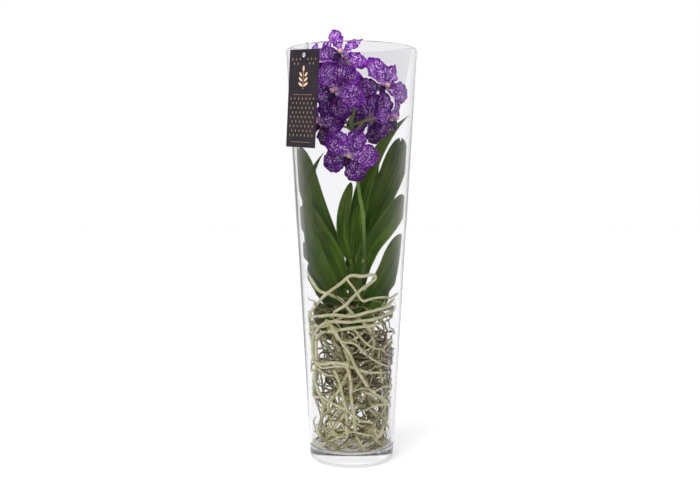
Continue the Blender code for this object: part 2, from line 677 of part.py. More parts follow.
def leaf_rows(base, middle_1, middle_2, tip, width, face_base, face_tip, notch, rows, columns):
    """Rows of points over a strap leaf: folded like a keel at its base and flatter towards the tip."""
    curve = cubic_through(base, middle_1, middle_2, tip)
    made = []
    for i in range(rows + 1):
        t = i / rows
        here = bezier(*curve, t)
        ahead = bezier(*curve, min(1.0, t + 0.01))
        behind = bezier(*curve, max(0.0, t - 0.01))
        along = (ahead - behind).normalized()
        face = Vector(face_base).lerp(Vector(face_tip), t)
        across = along.cross(face).normalized()
        up = across.cross(along).normalized()
        half = leaf_half_width(t, width, notch)
        fold = math.radians(LEAF_FOLD_BASE - LEAF_FOLD_LOST * min(1.0, t / LEAF_FOLD_UNTIL))
        tip_share = max(0.0, (t - 1 + LEAF_NOTCH_LENGTH) / LEAF_NOTCH_LENGTH)
        row = []
        for j in range(columns + 1):
            v = 2 * j / columns - 1
            reach = half * v * math.cos(fold)
            rise = half * abs(v) * math.sin(fold)
            # The tip of a notched leaf is cut deeper at its midrib than beside it
            back = notch * width * tip_share * (1 - abs(v))
            row.append(inside_glass(here + across * reach + up * rise - along * back))
        made.append(row)
    return made


def make_leaf(name, base, middle_1, middle_2, tip, width, face_base, face_tip, notch):
    end, ahead = blade_start(base, middle_1, middle_2, tip)
    start = end + ahead * LEAF_GAP
    rows = leaf_rows(
        start, middle_1, middle_2, tip, width, face_base, face_tip, notch, LEAF_ROWS, LEAF_COLUMNS
    )
    leaf = solid_sheet(name, rows, LEAF_THICKNESS, PARTS)
    leaf.data.materials.append(material("leaf"))
    return leaf


def stalk_point(height):
    """The point of the flower stalk at a height, by straight runs between its route points."""
    for low, high in zip(SPIKE_ROUTE, SPIKE_ROUTE[1:]):
        if low[2] <= height <= high[2]:
            return Vector(low).lerp(Vector(high), (height - low[2]) / (high[2] - low[2]))
    return Vector(SPIKE_ROUTE[-1])


def bloom_back(centre, facing):
    """Where a bloom sits on its pedicel: the back of its heart."""
    return Vector(centre) - Vector(facing).normalized() * (HEART_RADIUS * HEART_LONGER + SEAT)


def pedicel_route(centre, facing, height, count=5):
    """From the stalk outwards and then round to the way that the bloom faces."""
    start = stalk_point(height)
    end = bloom_back(centre, facing)
    out = end - start
    p1 = start + Vector((out.x, out.y, 0.0)) * PEDICEL_OUTWARDS + Vector((0, 0, PEDICEL_RISE))
    p2 = end - Vector(facing).normalized() * PEDICEL_APPROACH
    return [bezier(start, p1, p2, end, i / (count - 1)) for i in range(count)]


def make_flower_spike():
    """The stalk with its joints and bracts, and a pedicel to each bloom."""
    branches = helpers("branches")
    route = smooth_route(SPIKE_ROUTE, STALK_STEP)
    count = len(route)
    radii = [SPIKE_RADIUS * (1 - STALK_TAPER * i / (count - 1)) for i in range(count)]
    stalk = tube("flower_spike", route, radii, 2, PARTS)
    for height in JOINT_HEIGHTS:
        ellipsoid(f"joint_{height:.3f}", stalk_point(height), JOINT_SIZE, (0, 0, 1), branches)
    for name, centre, facing, roll, radius, height in BLOOMS:
        path = pedicel_route(centre, facing, height)
        last = len(path) - 1
        widths = [
            PEDICEL_RADIUS * (1.0 - PEDICEL_WAIST * math.sin(math.pi * i / last)) for i in range(last + 1)
        ]
        tube(name + "_pedicel", path, widths, 1, branches)
    return join("flower_spike", stalk, branches, "flower_spike")


def tepal_outline(u):
    """Half width of a tepal from its narrow claw (u 0) to its round end (u 1), with 1 as the widest."""
    rise = min(1.0, u / TEPAL_WIDEST_AT)
    body = TEPAL_CLAW + (1 - TEPAL_CLAW) * rise * rise * (3 - 2 * rise)
    beyond = max(0.0, (u - TEPAL_WIDEST_AT) / (1 - TEPAL_WIDEST_AT))
    return body * max(TEPAL_END_SHARE, math.sqrt(1 - beyond * beyond))


def tepal_rows(length, width, depth, phase, rows, columns):
    """A tepal along +X of a bloom that faces +Z: reflexed towards its end, with a waved edge."""
    start = HEART_RADIUS * TEPAL_START
    made = []
    for u in rows:
        half = width / 2 * tepal_outline(u)
        row = []
        for v in columns:
            turns = TEPAL_WAVE_TURNS * (1 if v > 0 else TEPAL_OTHER_EDGE)
            wave = TEPAL_WAVE * u * v * v * math.sin(phase + turns * math.pi * u)
            keel = TEPAL_KEEL * (1 - abs(v)) * math.sin(math.pi * u)
            arch = TEPAL_ARCH * math.sin(math.pi * u * TEPAL_ARCH_LENGTH) - TEPAL_REFLEX * u * u
            reach = length * u * (1 - TEPAL_TIP_DROP * v * v)
            row.append(Vector((start + reach, half * v, depth + length * (wave - keel + arch))))
        made.append(row)
    return made


def make_bloom(name, centre, facing, roll, radius, height):
    """Five tepals round a small heart, with the lip and the column in front of it."""
    others = helpers(name + "_parts")
    heart_size = (HEART_RADIUS, HEART_RADIUS, HEART_RADIUS * HEART_LONGER)
    heart = ellipsoid(name, (0, 0, 0), heart_size, (0, 0, 1), PARTS)
    slim = SLIM_BLOOMS.get(name, 1.0)
    for i, (direction, length, width, depth) in enumerate(TEPALS):
        phase = i * TEPAL_PHASE_STEP + roll
        size = length * radius, width * radius * slim
        rows = tepal_rows(*size, depth, phase, TEPAL_ROWS, TEPAL_COLUMNS)
        tepal = solid_sheet(f"{name}_tepal_{i}", rows, TEPAL_THICKNESS, others)
        apply_modifiers(tepal)
        tepal.data.transform(Matrix.Rotation(math.radians(direction), 4, "Z"))
    ellipsoid(name + "_column", *COLUMN, others)
    ellipsoid(name + "_lip", *LIP, others)
    bloom = join(name, heart, others, "bloom", "MANIFOLD")
    bloom.matrix_world = bloom_matrix(centre, facing, roll)
    return bloom


def bloom_matrix(centre, facing, roll):
    """Puts a bloom's +Z along the way it faces and its +Y upwards, then rolls it."""
    forward = Vector(facing).normalized()
    right = Vector((0, 0, 1)).cross(forward).normalized()
    up = forward.cross(right)
    turn = Matrix((right, up, forward)).transposed().to_4x4()
    return Matrix.Translation(Vector(centre)) @ turn @ Matrix.Rotation(math.radians(roll), 4, "Z")


def crown_point(height):
    share = (height - CROWN_LOW.z) / (CROWN_TOP.z - CROWN_LOW.z)
    lowest, highest = CROWN_USED
    return CROWN_LOW.lerp(CROWN_TOP, min(highest, max(lowest, share)))


def wandering_root(draw):
    """A root that leaves the crown, runs out to the glass and winds down to the floor."""
    bearing = draw.uniform(0, 360)
    leaves_at = draw.uniform(*WANDERERS_LEAVE_AT)
    turn = draw.choice((-1, 1)) * draw.uniform(*WANDER_TURN)
    route = [crown_point(leaves_at)]
    height = leaves_at + draw.uniform(*WANDER_FIRST_RISE)
    inset = draw.uniform(*WANDER_FIRST_INSET)
    least, most = WANDER_INSET
    while height > WANDER_LOWEST:
        route.append(on_wall(bearing, height, inset))
        bearing += turn * draw.uniform(*WANDER_UNEVEN)
        height -= draw.uniform(*WANDER_SINK)
        inset = min(most, max(least, inset + draw.uniform(*WANDER_DRIFT)))
    route.append(on_wall(bearing + turn, WANDER_LANDING_HEIGHT, max(WANDER_LANDING_INSET, inset)))
    route.append(on_wall(bearing + WANDER_END_TURNS * turn, VASE_FLOOR, max(WANDER_END_INSET, inset)))
    return route


def make_roots():
    """The root crown with its thick aerial roots, fused into one body where they touch."""
    strands = helpers("strands")
    crown = tube("roots", [CROWN_LOW, CROWN_LOW.lerp(CROWN_TOP, 0.5), CROWN_TOP], CROWN_RADII, 2, PARTS)
    routes = []
    for i, waypoints in enumerate(ROOT_ROUTES):
        leaves_at = FIRST_ROOT_LEAVES_AT + NEXT_ROOT_ABOVE * i
        first = on_wall(*waypoints[0])
        origin = crown_point(leaves_at)
        bow = origin.lerp(first, 0.5) + Vector((0, 0, ROOT_BOW))
        routes.append([origin, bow] + [on_wall(*w) for w in waypoints])
    draw = random.Random(ROOT_SEED)
    routes += [wandering_root(draw) for _ in range(WANDERING_ROOTS)]
    for i, waypoints in enumerate(routes):
        route = smooth_route(waypoints, ROOT_STEP)
        last = len(route) - 1
        girth = ROOT_RADIUS * (1.0 if i < len(ROOT_ROUTES) else draw.uniform(*WANDER_GIRTH))
        lowest = VASE_FLOOR + SEAT + girth * (1 + ROOT_SWELL)
        route = [Vector((place.x, place.y, max(place.z, lowest))) for place in route]
        radii = [girth * (1 + ROOT_SWELL * math.sin(ROOT_SWELL_STEP * k + i)) for k in range(last + 1)]
        radii[last] *= ROOT_END_GIRTH
        tube(f"root_{i}", route, radii, ROOT_SIDES_RESOLUTION, strands)
    return join("roots", crown, strands, "roots")


def main():
    clear_scene()
    make_vase()
    make_tag()
    make_tag_strap()
    make_stem()
    for leaf in LEAVES:
        make_leaf(*leaf)
    make_flower_spike()
    for bloom in BLOOMS:
        make_bloom(*bloom)
    make_roots()
    for obj in PARTS.objects:
        if obj.type == "MESH":
            obj.data.shade_smooth()


main()
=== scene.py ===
"""Looks of the vanda orchid in its glass vase: fine petals, leaves, roots, clear glass and the hang tag.

Everything is in metres, +Z up, with the viewer on the -Y side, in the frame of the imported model.
"""
import random
from math import atan2, cos, degrees, exp, hypot, pi, radians, sin, sqrt

import bpy
import numpy as np
from mathutils import Matrix, Vector


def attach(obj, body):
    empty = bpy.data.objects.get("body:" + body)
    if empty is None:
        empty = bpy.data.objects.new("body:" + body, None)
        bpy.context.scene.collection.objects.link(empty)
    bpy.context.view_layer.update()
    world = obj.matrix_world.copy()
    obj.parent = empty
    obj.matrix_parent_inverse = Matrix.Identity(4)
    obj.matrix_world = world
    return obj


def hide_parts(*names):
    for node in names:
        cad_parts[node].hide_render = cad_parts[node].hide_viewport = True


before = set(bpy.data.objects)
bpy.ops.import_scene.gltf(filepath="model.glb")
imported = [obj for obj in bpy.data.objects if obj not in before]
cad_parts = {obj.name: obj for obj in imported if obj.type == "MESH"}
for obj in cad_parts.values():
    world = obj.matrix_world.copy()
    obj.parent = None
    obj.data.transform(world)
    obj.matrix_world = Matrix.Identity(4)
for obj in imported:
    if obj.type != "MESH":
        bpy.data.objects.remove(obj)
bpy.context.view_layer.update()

# The camera of the photograph
CAMERA_PLACE = Vector((0.0, -1.273, 0.4086))
CAMERA_AIM = Vector((0.0, 0.0, 0.314))
LENS = 44.35
OBJECT_RIGHT_OF_CENTRE = 1.6 / 700

# The vase: a straight cone with a thick foot
VASE_HEIGHT = 0.600
VASE_TOP_RADIUS = 0.0950
VASE_FOOT_RADIUS = 0.0620
VASE_WALL = 0.0030
VASE_FLOOR = 0.0180
VASE_SIDES = 48
SEAT = 0.0003

# The hang tag, on the rim at the front left
TAG_WIDTH = 0.056
TAG_HEIGHT = 0.134
TAG_THICKNESS = 0.0008
TAG_YAW = radians(-41.25)
TAG_SWING = radians(4)
TAG_TOP_BELOW_RIM = 0.0085
TAG_HOLE_BELOW_TOP = 0.008
TAG_STANDOFF = 0.0032

# The plant's stem, its leaf sheaths and the root crown below it
STEM_RADIUS = 0.0065
STEM_TOP_RADIUS = 0.0045
CROWN_LOW = Vector((0.002, 0.004, 0.075))
CROWN_TOP = Vector((0.002, 0.003, 0.140))
STEM_TOP = Vector((0.002, 0.001, 0.290))
SHEATH_RADIUS = 0.0055
SHEATH_END_RADIUS = 0.0032
SHEATH_RISE = 0.016
SHEATH_NECK = 0.005
SHEATH_MIDDLE = 0.6
LEAF_THICKNESS = 0.0016
LEAF_BASE_SHARE = 0.42
LEAF_FULL_WIDTH_AT = 0.30
LEAF_WIDENING = 0.8
# Where the end of a round-tipped leaf begins, and how much later that is on a well notched one
LEAF_ROUND_FROM = 0.50
LEAF_BLUNTER = 0.30
LEAF_BLUNT_NOTCH = 0.10
LEAF_NOTCH_LENGTH = 0.12
# The same for a pointed leaf
LEAF_POINT_FROM = 0.40
LEAF_POINT_SHAPE = 1.7
LEAF_FOLD_BASE = 28
LEAF_FOLD_LOST = 12
LEAF_FOLD_UNTIL = 0.7
LEAF_GAP = SEAT * 1.6
LEAF_CLEARANCE = 0.0022
# Below this height the leaves leave room for the roots along the glass
ROOT_ZONE_TOP = 0.262
ROOT_ZONE_FADE = 0.020
ROOT_ROOM = 0.0113

# Leaves: name, end of the sheath, two route points, tip, width,
# the way the blade's upper face looks at its base and at its tip, notch depth of the tip
LEAVES = (
    ("leaf_right_1", (0.007, -0.001, 0.294), (0.011, -0.001, 0.362), (0.034, 0.000, 0.437),
     (0.084, 0.003, 0.503), 0.028, (-0.30, -1.00, 0.15), (-0.50, -1.00, 0.00), 0.00),
    ("leaf_right_2", (0.015, 0.011, 0.262), (0.021, 0.014, 0.334), (0.052, 0.016, 0.397),
     (0.073, 0.010, 0.470), 0.040, (-0.10, -1.00, 0.20), (-0.30, -1.00, 0.10), 0.14),
    ("leaf_right_3", (0.012, -0.008, 0.241), (0.024, -0.010, 0.303), (0.046, -0.013, 0.336),
     (0.076, -0.012, 0.390), 0.030, (-0.10, -1.00, 0.20), (-0.35, -1.00, 0.10), 0.10),
    ("leaf_right_4", (0.010, -0.010, 0.196), (0.030, -0.024, 0.237), (0.052, -0.027, 0.275),
     (0.073, -0.022, 0.334), 0.034, (-0.10, -1.00, 0.25), (-0.30, -1.00, 0.10), 0.12),
    ("leaf_right_5", (0.010, 0.014, 0.166), (0.027, 0.020, 0.205), (0.046, 0.024, 0.238),
     (0.063, 0.022, 0.288), 0.030, (-0.15, -1.00, 0.30), (-0.35, -1.00, 0.20), 0.10),
    ("leaf_left_1", (-0.012, 0.001, 0.266), (-0.035, 0.003, 0.320), (-0.059, 0.004, 0.383),
     (-0.079, 0.002, 0.458), 0.034, (0.10, -1.00, 0.15), (0.35, -1.00, 0.10), 0.14),
    ("leaf_left_2", (-0.009, -0.010, 0.226), (-0.050, -0.028, 0.292), (-0.067, -0.033, 0.372),
     (-0.040, -0.042, 0.449), 0.028, (0.30, -1.00, 0.10), (0.60, -1.00, 0.00), 0.00),
    ("leaf_left_3", (-0.010, -0.007, 0.247), (-0.030, -0.012, 0.299), (-0.051, -0.013, 0.333),
     (-0.072, -0.012, 0.374), 0.034, (0.10, -1.00, 0.20), (0.35, -1.00, 0.10), 0.12),
    ("leaf_left_4", (-0.010, 0.009, 0.211), (-0.029, 0.009, 0.269), (-0.051, 0.010, 0.293),
     (-0.073, 0.009, 0.320), 0.031, (0.10, -1.00, 0.25), (0.35, -1.00, 0.10), 0.12),
    ("leaf_left_5", (-0.011, 0.016, 0.184), (-0.031, 0.023, 0.229), (-0.050, 0.028, 0.251),
     (-0.068, 0.025, 0.284), 0.030, (0.10, -1.00, 0.25), (0.35, -1.00, 0.10), 0.10),
    ("leaf_left_6", (-0.011, 0.005, 0.167), (-0.026, 0.007, 0.183), (-0.042, 0.008, 0.202),
     (-0.056, 0.007, 0.228), 0.028, (0.10, -1.00, 0.25), (0.35, -1.00, 0.10), 0.10),
    ("leaf_top_left", (-0.001, -0.008, 0.290), (-0.014, -0.006, 0.330), (-0.011, -0.010, 0.370),
     (-0.001, -0.013, 0.406), 0.020, (0.25, -1.00, 0.10), (0.35, -1.00, 0.00), 0.01),
    ("leaf_top_right", (-0.004, 0.018, 0.278), (0.010, 0.027, 0.345), (0.022, 0.030, 0.398),
     (0.037, 0.028, 0.455), 0.030, (-0.15, -1.00, 0.10), (-0.30, -1.00, 0.00), 0.08),
)

# The flower spike: route of the stalk from its leaf axil to the top bloom
SPIKE_ROUTE = (
    (0.0000, -0.0112, 0.2340), (0.0020, -0.0205, 0.2445), (0.0100, -0.0255, 0.2600),
    (0.0172, -0.0250, 0.2850), (0.0180, -0.0235, 0.3160), (0.0165, -0.0200, 0.3580),
    (0.0105, -0.015, 0.394), (0.004, -0.008, 0.450), (-0.001, -0.002, 0.493), (0.002, 0.001, 0.520),
    (0.000, 0.001, 0.550), (-0.005, -0.004, 0.578),
)
SPIKE_RADIUS = 0.0032
PEDICEL_RADIUS = 0.0017
STUB_RADIUS = 0.0034
STUB_BELOW_STALK = 0.006
STUB_END = 0.004
STALK_TAPER = 0.42
JOINT_HEIGHTS = (0.290, 0.357, 0.425)
PEDICEL_OUTWARDS = 0.30
PEDICEL_RISE = 0.004
PEDICEL_APPROACH = 0.014
PEDICEL_WAIST = 0.25

# Blooms: name, centre, the way it faces, roll in degrees, radius, height where its pedicel starts
BLOOMS = (
    ("bloom_1", (-0.014, -0.046, 0.587), (-0.16, -0.97, 0.14), -48, 0.040, 0.570),
    ("bloom_2", (-0.021, -0.032, 0.536), (-0.50, -0.86, -0.06), -38, 0.044, 0.523),
    ("bloom_3", (-0.003, -0.048, 0.4455), (-0.06, -1.00, -0.10), -24, 0.0405, 0.452),
    ("bloom_4", (0.046, -0.007, 0.543), (0.50, -0.86, 0.08), -40, 0.045, 0.524),
    ("bloom_5", (0.054, -0.034, 0.499), (0.86, -0.50, -0.04), 16, 0.035, 0.488),
    ("bloom_6", (0.029, 0.027, 0.498), (0.50, 0.86, 0.02), 25, 0.040, 0.476),
    ("bloom_7", (-0.046, 0.001, 0.493), (-0.50, -0.86, -0.06), -25, 0.039, 0.482),
    ("bloom_8", (-0.043, 0.006, 0.580), (-0.78, -0.60, 0.14), -12, 0.038, 0.552),
    ("bloom_9", (-0.022, 0.048, 0.548), (-0.10, 0.99, 0.05), 10, 0.040, 0.536),
)
# How much narrower the tepals of some blooms are
SLIM_BLOOMS = {"bloom_1": 0.60, "bloom_4": 0.80, "bloom_5": 0.82, "bloom_8": 0.80}
TEPAL_THICKNESS = 0.0009
TEPAL_CLAW = 0.24
TEPAL_WIDEST_AT = 0.60
TEPAL_TIP_DROP = 0.04
# Where a tepal starts, in radii of the heart, and its waves, keel, arch and backward bend in tepal lengths
TEPAL_START = 0.35
TEPAL_WAVE = 0.040
TEPAL_WAVE_TURNS = 2.3
TEPAL_OTHER_EDGE = 1.25
TEPAL_KEEL = 0.06
TEPAL_ARCH = 0.10
TEPAL_ARCH_LENGTH = 0.9
TEPAL_REFLEX = 0.13
TEPAL_PHASE_STEP = 1.7
# Tepals: direction round the bloom, length and width as shares of the bloom's radius, depth behind the face
TEPALS = (
    (90, 0.93, 0.72, -0.0042),
    (22, 1.00, 0.86, 0.0010),
    (158, 1.00, 0.86, 0.0010),
    (-46, 0.97, 0.80, -0.0042),
    (-134, 0.97, 0.80, -0.0042),
)
HEART_RADIUS = 0.0034
HEART_LONGER = 1.5

# Roots: routes on the inside of the glass as (bearing in degrees from the front, height, inset from the wall)
ROOT_RADIUS = 0.0023
FIRST_ROOT_LEAVES_AT = 0.080
NEXT_ROOT_ABOVE = 0.0034
ROOT_ROUTES = (
    ((-100, 0.150, 0.012), (-84, 0.185, 0.008), (-70, 0.212, 0.006), (-57, 0.227, 0.006), (-33, 0.250, 0.006),
     (-12, 0.268, 0.006), (-1, 0.279, 0.006), (12, 0.277, 0.006), (25, 0.279, 0.006), (30, 0.274, 0.007),
     (12, 0.258, 0.008), (-6, 0.239, 0.008), (-20, 0.227, 0.010), (-32, 0.215, 0.014)),
    ((44, 0.150, 0.026), (34, 0.185, 0.015), (21, 0.204, 0.012), (1, 0.224, 0.013), (-14, 0.241, 0.014),
     (-29, 0.249, 0.013), (-45, 0.254, 0.009), (-56, 0.262, 0.008), (-71, 0.279, 0.007)),
    ((120, 0.160, 0.010), (-165, 0.185, 0.008), (-110, 0.195, 0.007), (-68, 0.212, 0.006),
     (-28, 0.221, 0.006), (0, 0.221, 0.006), (31, 0.228, 0.006), (52, 0.233, 0.006), (75, 0.238, 0.008)),
    ((-100, 0.130, 0.012), (-75, 0.158, 0.011), (-62, 0.190, 0.009), (-29, 0.211, 0.007), (1, 0.212, 0.007),
     (32, 0.216, 0.007), (54, 0.220, 0.007), (90, 0.222, 0.008), (130, 0.210, 0.008)),
    ((-84, 0.090, 0.008), (-66, 0.120, 0.008), (-58, 0.160, 0.008), (-52, 0.188, 0.010), (-24, 0.198, 0.009),
     (2, 0.203, 0.010), (30, 0.206, 0.010), (48, 0.205, 0.012)),
    ((-37, 0.211, 0.011), (-10, 0.179, 0.006), (6, 0.147, 0.006), (20, 0.120, 0.006), (42, 0.100, 0.006),
     (63, 0.088, 0.007), (82, 0.086, 0.010)),
    ((-88, 0.196, 0.010), (-72, 0.166, 0.008), (-56, 0.146, 0.008), (-24, 0.152, 0.008), (1, 0.146, 0.010),
     (24, 0.138, 0.008), (48, 0.134, 0.008)),
    ((-72, 0.128, 0.010), (-60, 0.108, 0.008), (-47, 0.089, 0.008), (-51, 0.067, 0.008), (-66, 0.047, 0.009),
     (-62, 0.036, 0.010), (-48, 0.030, 0.012), (-20, 0.022, 0.014)),
    ((-8, 0.150, 0.014), (-2, 0.128, 0.008), (1, 0.091, 0.008), (9, 0.041, 0.009), (24, 0.024, 0.012)),
    ((-26, 0.140, 0.012), (-17, 0.120, 0.008), (-10, 0.091, 0.008), (-7, 0.044, 0.009), (-18, 0.024, 0.012)),
    ((20, 0.110, 0.016), (32, 0.103, 0.009), (52, 0.094, 0.008), (60, 0.081, 0.009), (46, 0.070, 0.010),
     (30, 0.080, 0.012)),
    ((112, 0.150, 0.014), (88, 0.172, 0.009), (62, 0.178, 0.009), (44, 0.160, 0.011), (52, 0.124, 0.012),
     (74, 0.084, 0.010), (56, 0.045, 0.010), (26, 0.026, 0.012)),
    ((44, 0.070, 0.014), (40, 0.050, 0.014), (52, 0.036, 0.012), (70, 0.050, 0.010), (76, 0.076, 0.008),
     (66, 0.096, 0.010)),
    ((-10, 0.170, 0.016), (-4, 0.140, 0.016), (-22, 0.110, 0.014), (-40, 0.084, 0.012), (-34, 0.052, 0.012),
     (-14, 0.034, 0.012)),
)
ROOT_BOW = 0.006
ROOT_END_GIRTH = 0.55
CROWN_USED = (0.04, 0.92)
# Roots drawn by chance: where they leave the crown, how they turn, sink and drift as they wind down the glass
WANDERING_ROOTS = 8
WANDERERS_LEAVE_AT = (0.090, 0.128)
WANDER_GIRTH = (0.75, 1.05)
WANDER_TURN = (16, 34)
WANDER_UNEVEN = (0.6, 1.4)
WANDER_FIRST_RISE = (-0.004, 0.012)
WANDER_SINK = (0.016, 0.030)
WANDER_FIRST_INSET = (0.024, 0.034)
WANDER_DRIFT = (-0.013, 0.009)
WANDER_INSET = (0.007, 0.050)
WANDER_LOWEST = 0.034
WANDER_LANDING_HEIGHT = 0.0225
WANDER_LANDING_INSET = 0.012
WANDER_END_INSET = 0.013
WANDER_END_TURNS = 2.2
ROOT_SEED = 9

# How fine the visible meshes are
LEAF_ROWS = 64
LEAF_COLUMNS = 18
TEPAL_LENGTHWISE = 34
TEPAL_ACROSS = 24
ROOT_SIDES = 10
FINE_ROOT_SIDES = 6
FINE_ROOT_GIRTH = 0.0012
ROOT_STEP = 0.004
STEM_STEP = 0.005
FINE_STEP = 0.003
STUB_STEP = 0.002
STALK_SIDES = 16
STEM_SIDES = 20
VASE_TURNS = 160
ARC_STEPS = 10
LENGTH_STEPS = 20
FULL_TURN = 6.28

# The usual range over which a noise fades from one colour to another
NOISE_RANGE = (0.35, 0.65)

# The studio
WHITE = (1.0, 1.0, 1.0, 1.0)
WORLD_BEFORE = 0.42
WORLD_BEHIND = 1.0
WORLD_TURNS_BRIGHT = (-0.35, 0.25)
KEY_LIGHT = 2.75
KEY_FROM = (-0.60, -0.85, 1.10)
KEY_SPREAD = 45
FILL_LIGHT = 0.7
FILL_FROM = (0.95, -0.75, 0.45)
FILL_SPREAD = 50
FLOOR_HALF_SIZE = 6.0
FLOOR_TONE = (0.58, 0.58, 0.583, 1.0)
FLOOR_GLOW = 0.42

# The glass's profile: round foot and inner corner, and the hollow of the underside as (radius, height)
GLASS_FOOT_ROUND = 0.0075
GLASS_FOOT_SWELL = 0.0003
GLASS_FLOOR_ROUND = 0.0065
GLASS_HOLLOW = ((0.0, 0.0014), (0.018, 0.0012), (0.034, 0.0006), (0.046, 0.0))
# How clear the glass of the wall and of the thick foot is, and how strongly they mirror
WALL_GLASS = (0.85, 0.03)
FOOT_GLASS = (0.93, 0.90)
FOOT_GLASS_ABOVE_FLOOR = 0.0015
STRAP_COLOUR = (0.93, 0.93, 0.96, 1.0)

# The tag's own design: a sprig over a field of small lozenges, with heights as shares of the card's height
TAG_FACE_LIFT = 0.00006
TAG_PRINT_THICKNESS = 0.00005
CARD_COLOURS = ((0.014, 0.010, 0.015), (0.022, 0.016, 0.022))
INK_COLOURS = ((0.66, 0.44, 0.30), (0.80, 0.56, 0.40), (0.27, 0.18, 0.10))
SPRIG_AT = 0.30
SPRIG_STEM = (-0.001, 0.0003, 0.013)
SPRIG_TURNS = (150, 30, 140, 40, 130, 50)
SPRIG_LEAF = (0.0095, 0.0036)
SPRIG_LEAF_SHORTER = 0.001
SPRIG_LEAF_OUT = 0.0050
SPRIG_LEVEL = 0.0068
SPRIG_LOWEST = 0.0075
SPRIG_TOP_LEAF = (0.0140, 0.0090)
SPRIG_LEAF_POINTS = 12
SPRIG_LEAF_BULGE = 0.3
LOZENGE_ROWS = (0.100, 0.145) + tuple(0.50 + 0.047 * row for row in range(9))
LOZENGE_PITCH = 0.0072
LOZENGE_COLUMNS = range(-3, 4)
LOZENGE_HALF = (0.0011, 0.0021)
LOZENGE_MARGIN = 0.004
UPPER_ROWS = 2
UPPER_ROWS_GAP = 0.006
FRAME_LINES_AT = (0.46, 0.945)
FRAME_LINE_HALF = (0.018, 0.0003)

# Leaf colours, and the shade of single leaves from 0 (green) to 1 (dull brown)
LEAF_DEEP = (0.062, 0.150, 0.008)
LEAF_BRIGHT = (0.150, 0.290, 0.014)
# The dark of the lengthwise streaks and grain, also used as painted shade along the midrib and on one half of
# the fold
LEAF_DARK_STREAK_AND_SHADE = (0.013, 0.034, 0.003)
LEAF_SHADE = (0.066, 0.070, 0.022)
LEAF_OLIVE = (0.122, 0.150, 0.030)
LEAF_EDGE = (0.180, 0.250, 0.070)
LEAF_TONES = {
    "leaf_left_2": 0.45, "leaf_left_5": 0.6, "leaf_left_6": 0.8, "leaf_top_left": 0.0, "leaf_right_3": 0.05,
    "leaf_right_2": 0.0, "leaf_right_1": 0.1,
}
LEAF_SEED = 100

# The blade's fine form: rows closer together towards the tip, blunt or sharp end, round keel, waved edges
LEAF_CROWDING = 1.25
LEAF_BLUNT_END = 0.10
LEAF_SHARP_END = 0.03
LEAF_KEEL_ROUND = 0.1
LEAF_WAVE = 0.0009
LEAF_WAVE_TURN = 9
LEAF_WAVE_IN = 4
LEAF_WAY_STEP = 0.01
# How much thinner or thicker it is at the rim, the midrib and the end
LEAF_RIM_THINNER = 0.72
LEAF_RIB_THICKER = 0.35
LEAF_RIB_WIDTH = 0.2
LEAF_END_THINNER = 0.5
LEAF_END_LENGTH = 0.1

# The stem's swollen joint, where several sheaths come out
STEM_JOINT_HEIGHT = 0.248
STEM_JOINT_REACH = 0.008
STEM_JOINT_SWELL = 0.0022
SHEATH_BEYOND = 0.004
SHEATH_SIDES = 16

# The stalk: colours, joints and pedicels; painted shade darkens it below the second height
STALK_GREEN = (0.125, 0.235, 0.024)
STALK_BRIGHT = (0.230, 0.370, 0.066)
# Painted shade for the low stalk among the leaves
STALK_PAINTED_SHADE = (0.045, 0.075, 0.014)
STALK_OCHRE = (0.42, 0.36, 0.12)
STALK_LILAC = (0.36, 0.13, 0.38)
STALK_PAINTED_SHADE_HEIGHTS = (0.300, 0.362)
STALK_TONE = 0.1
JOINT_REACH = 0.0022
JOINT_SWELL = 0.28
PEDICEL_POINTS = 22
PEDICEL_SIDES = 12
PEDICEL_END_GIRTH = 1.05
PEDICEL_TONES = (0.30, 1.0)
# Bracts: length and width at a pedicel and at a joint, the way they look, and their form
PEDICEL_BRACT = (0.0055, 0.0036)
PEDICEL_BRACT_BELOW = 0.003
JOINT_BRACT = (0.0085, 0.0046)
JOINT_BRACT_LEANS = (-0.4, 0.3, 0.3)
BRACT_ROWS = 9
BRACT_COLUMNS = 7
BRACT_THICKNESS = 0.0004
BRACT_TONE = 0.45
BRACT_HUGS = 0.92
BRACT_OPENS = 0.0014
BRACT_BENDS = 0.0012
BRACT_STARTS_BELOW = 0.15
# Buds: place, way, length, girth, tone; their girth follows a sine between two shares of a half turn
BUDS = (
    ((-0.0015, -0.0060, 0.486), (0.18, -0.20, 0.96), 0.030, 0.0030, 0.15),
    ((-0.0060, -0.0070, 0.489), (-0.55, -0.35, 0.75), 0.010, 0.0030, 0.55),
)
BUD_STEPS = 12
BUD_SIDES = 14
BUD_SINE = (0.12, 0.86)
BUD_LEAST = 0.12

# Blooms: shade of their tepals in order, extra shade of single blooms, the ones with a pointed upper tepal
TEPAL_TONES = (0.12, 0.08, 0.08, 0.55, 0.55)
BLOOM_TONES = {"bloom_2": 0.0, "bloom_6": 0.20, "bloom_7": 0.35, "bloom_5": 0.10, "bloom_1": -0.06}
POINTED_BLOOMS = ("bloom_1", "bloom_4")
BLOOM_SEED = 300
# Petal colours: dark, middle, light and the pale flecks
PETAL_COLOURS = ((0.026, 0.002, 0.048), (0.175, 0.012, 0.345), (0.345, 0.060, 0.600), (0.94, 0.72, 0.98))
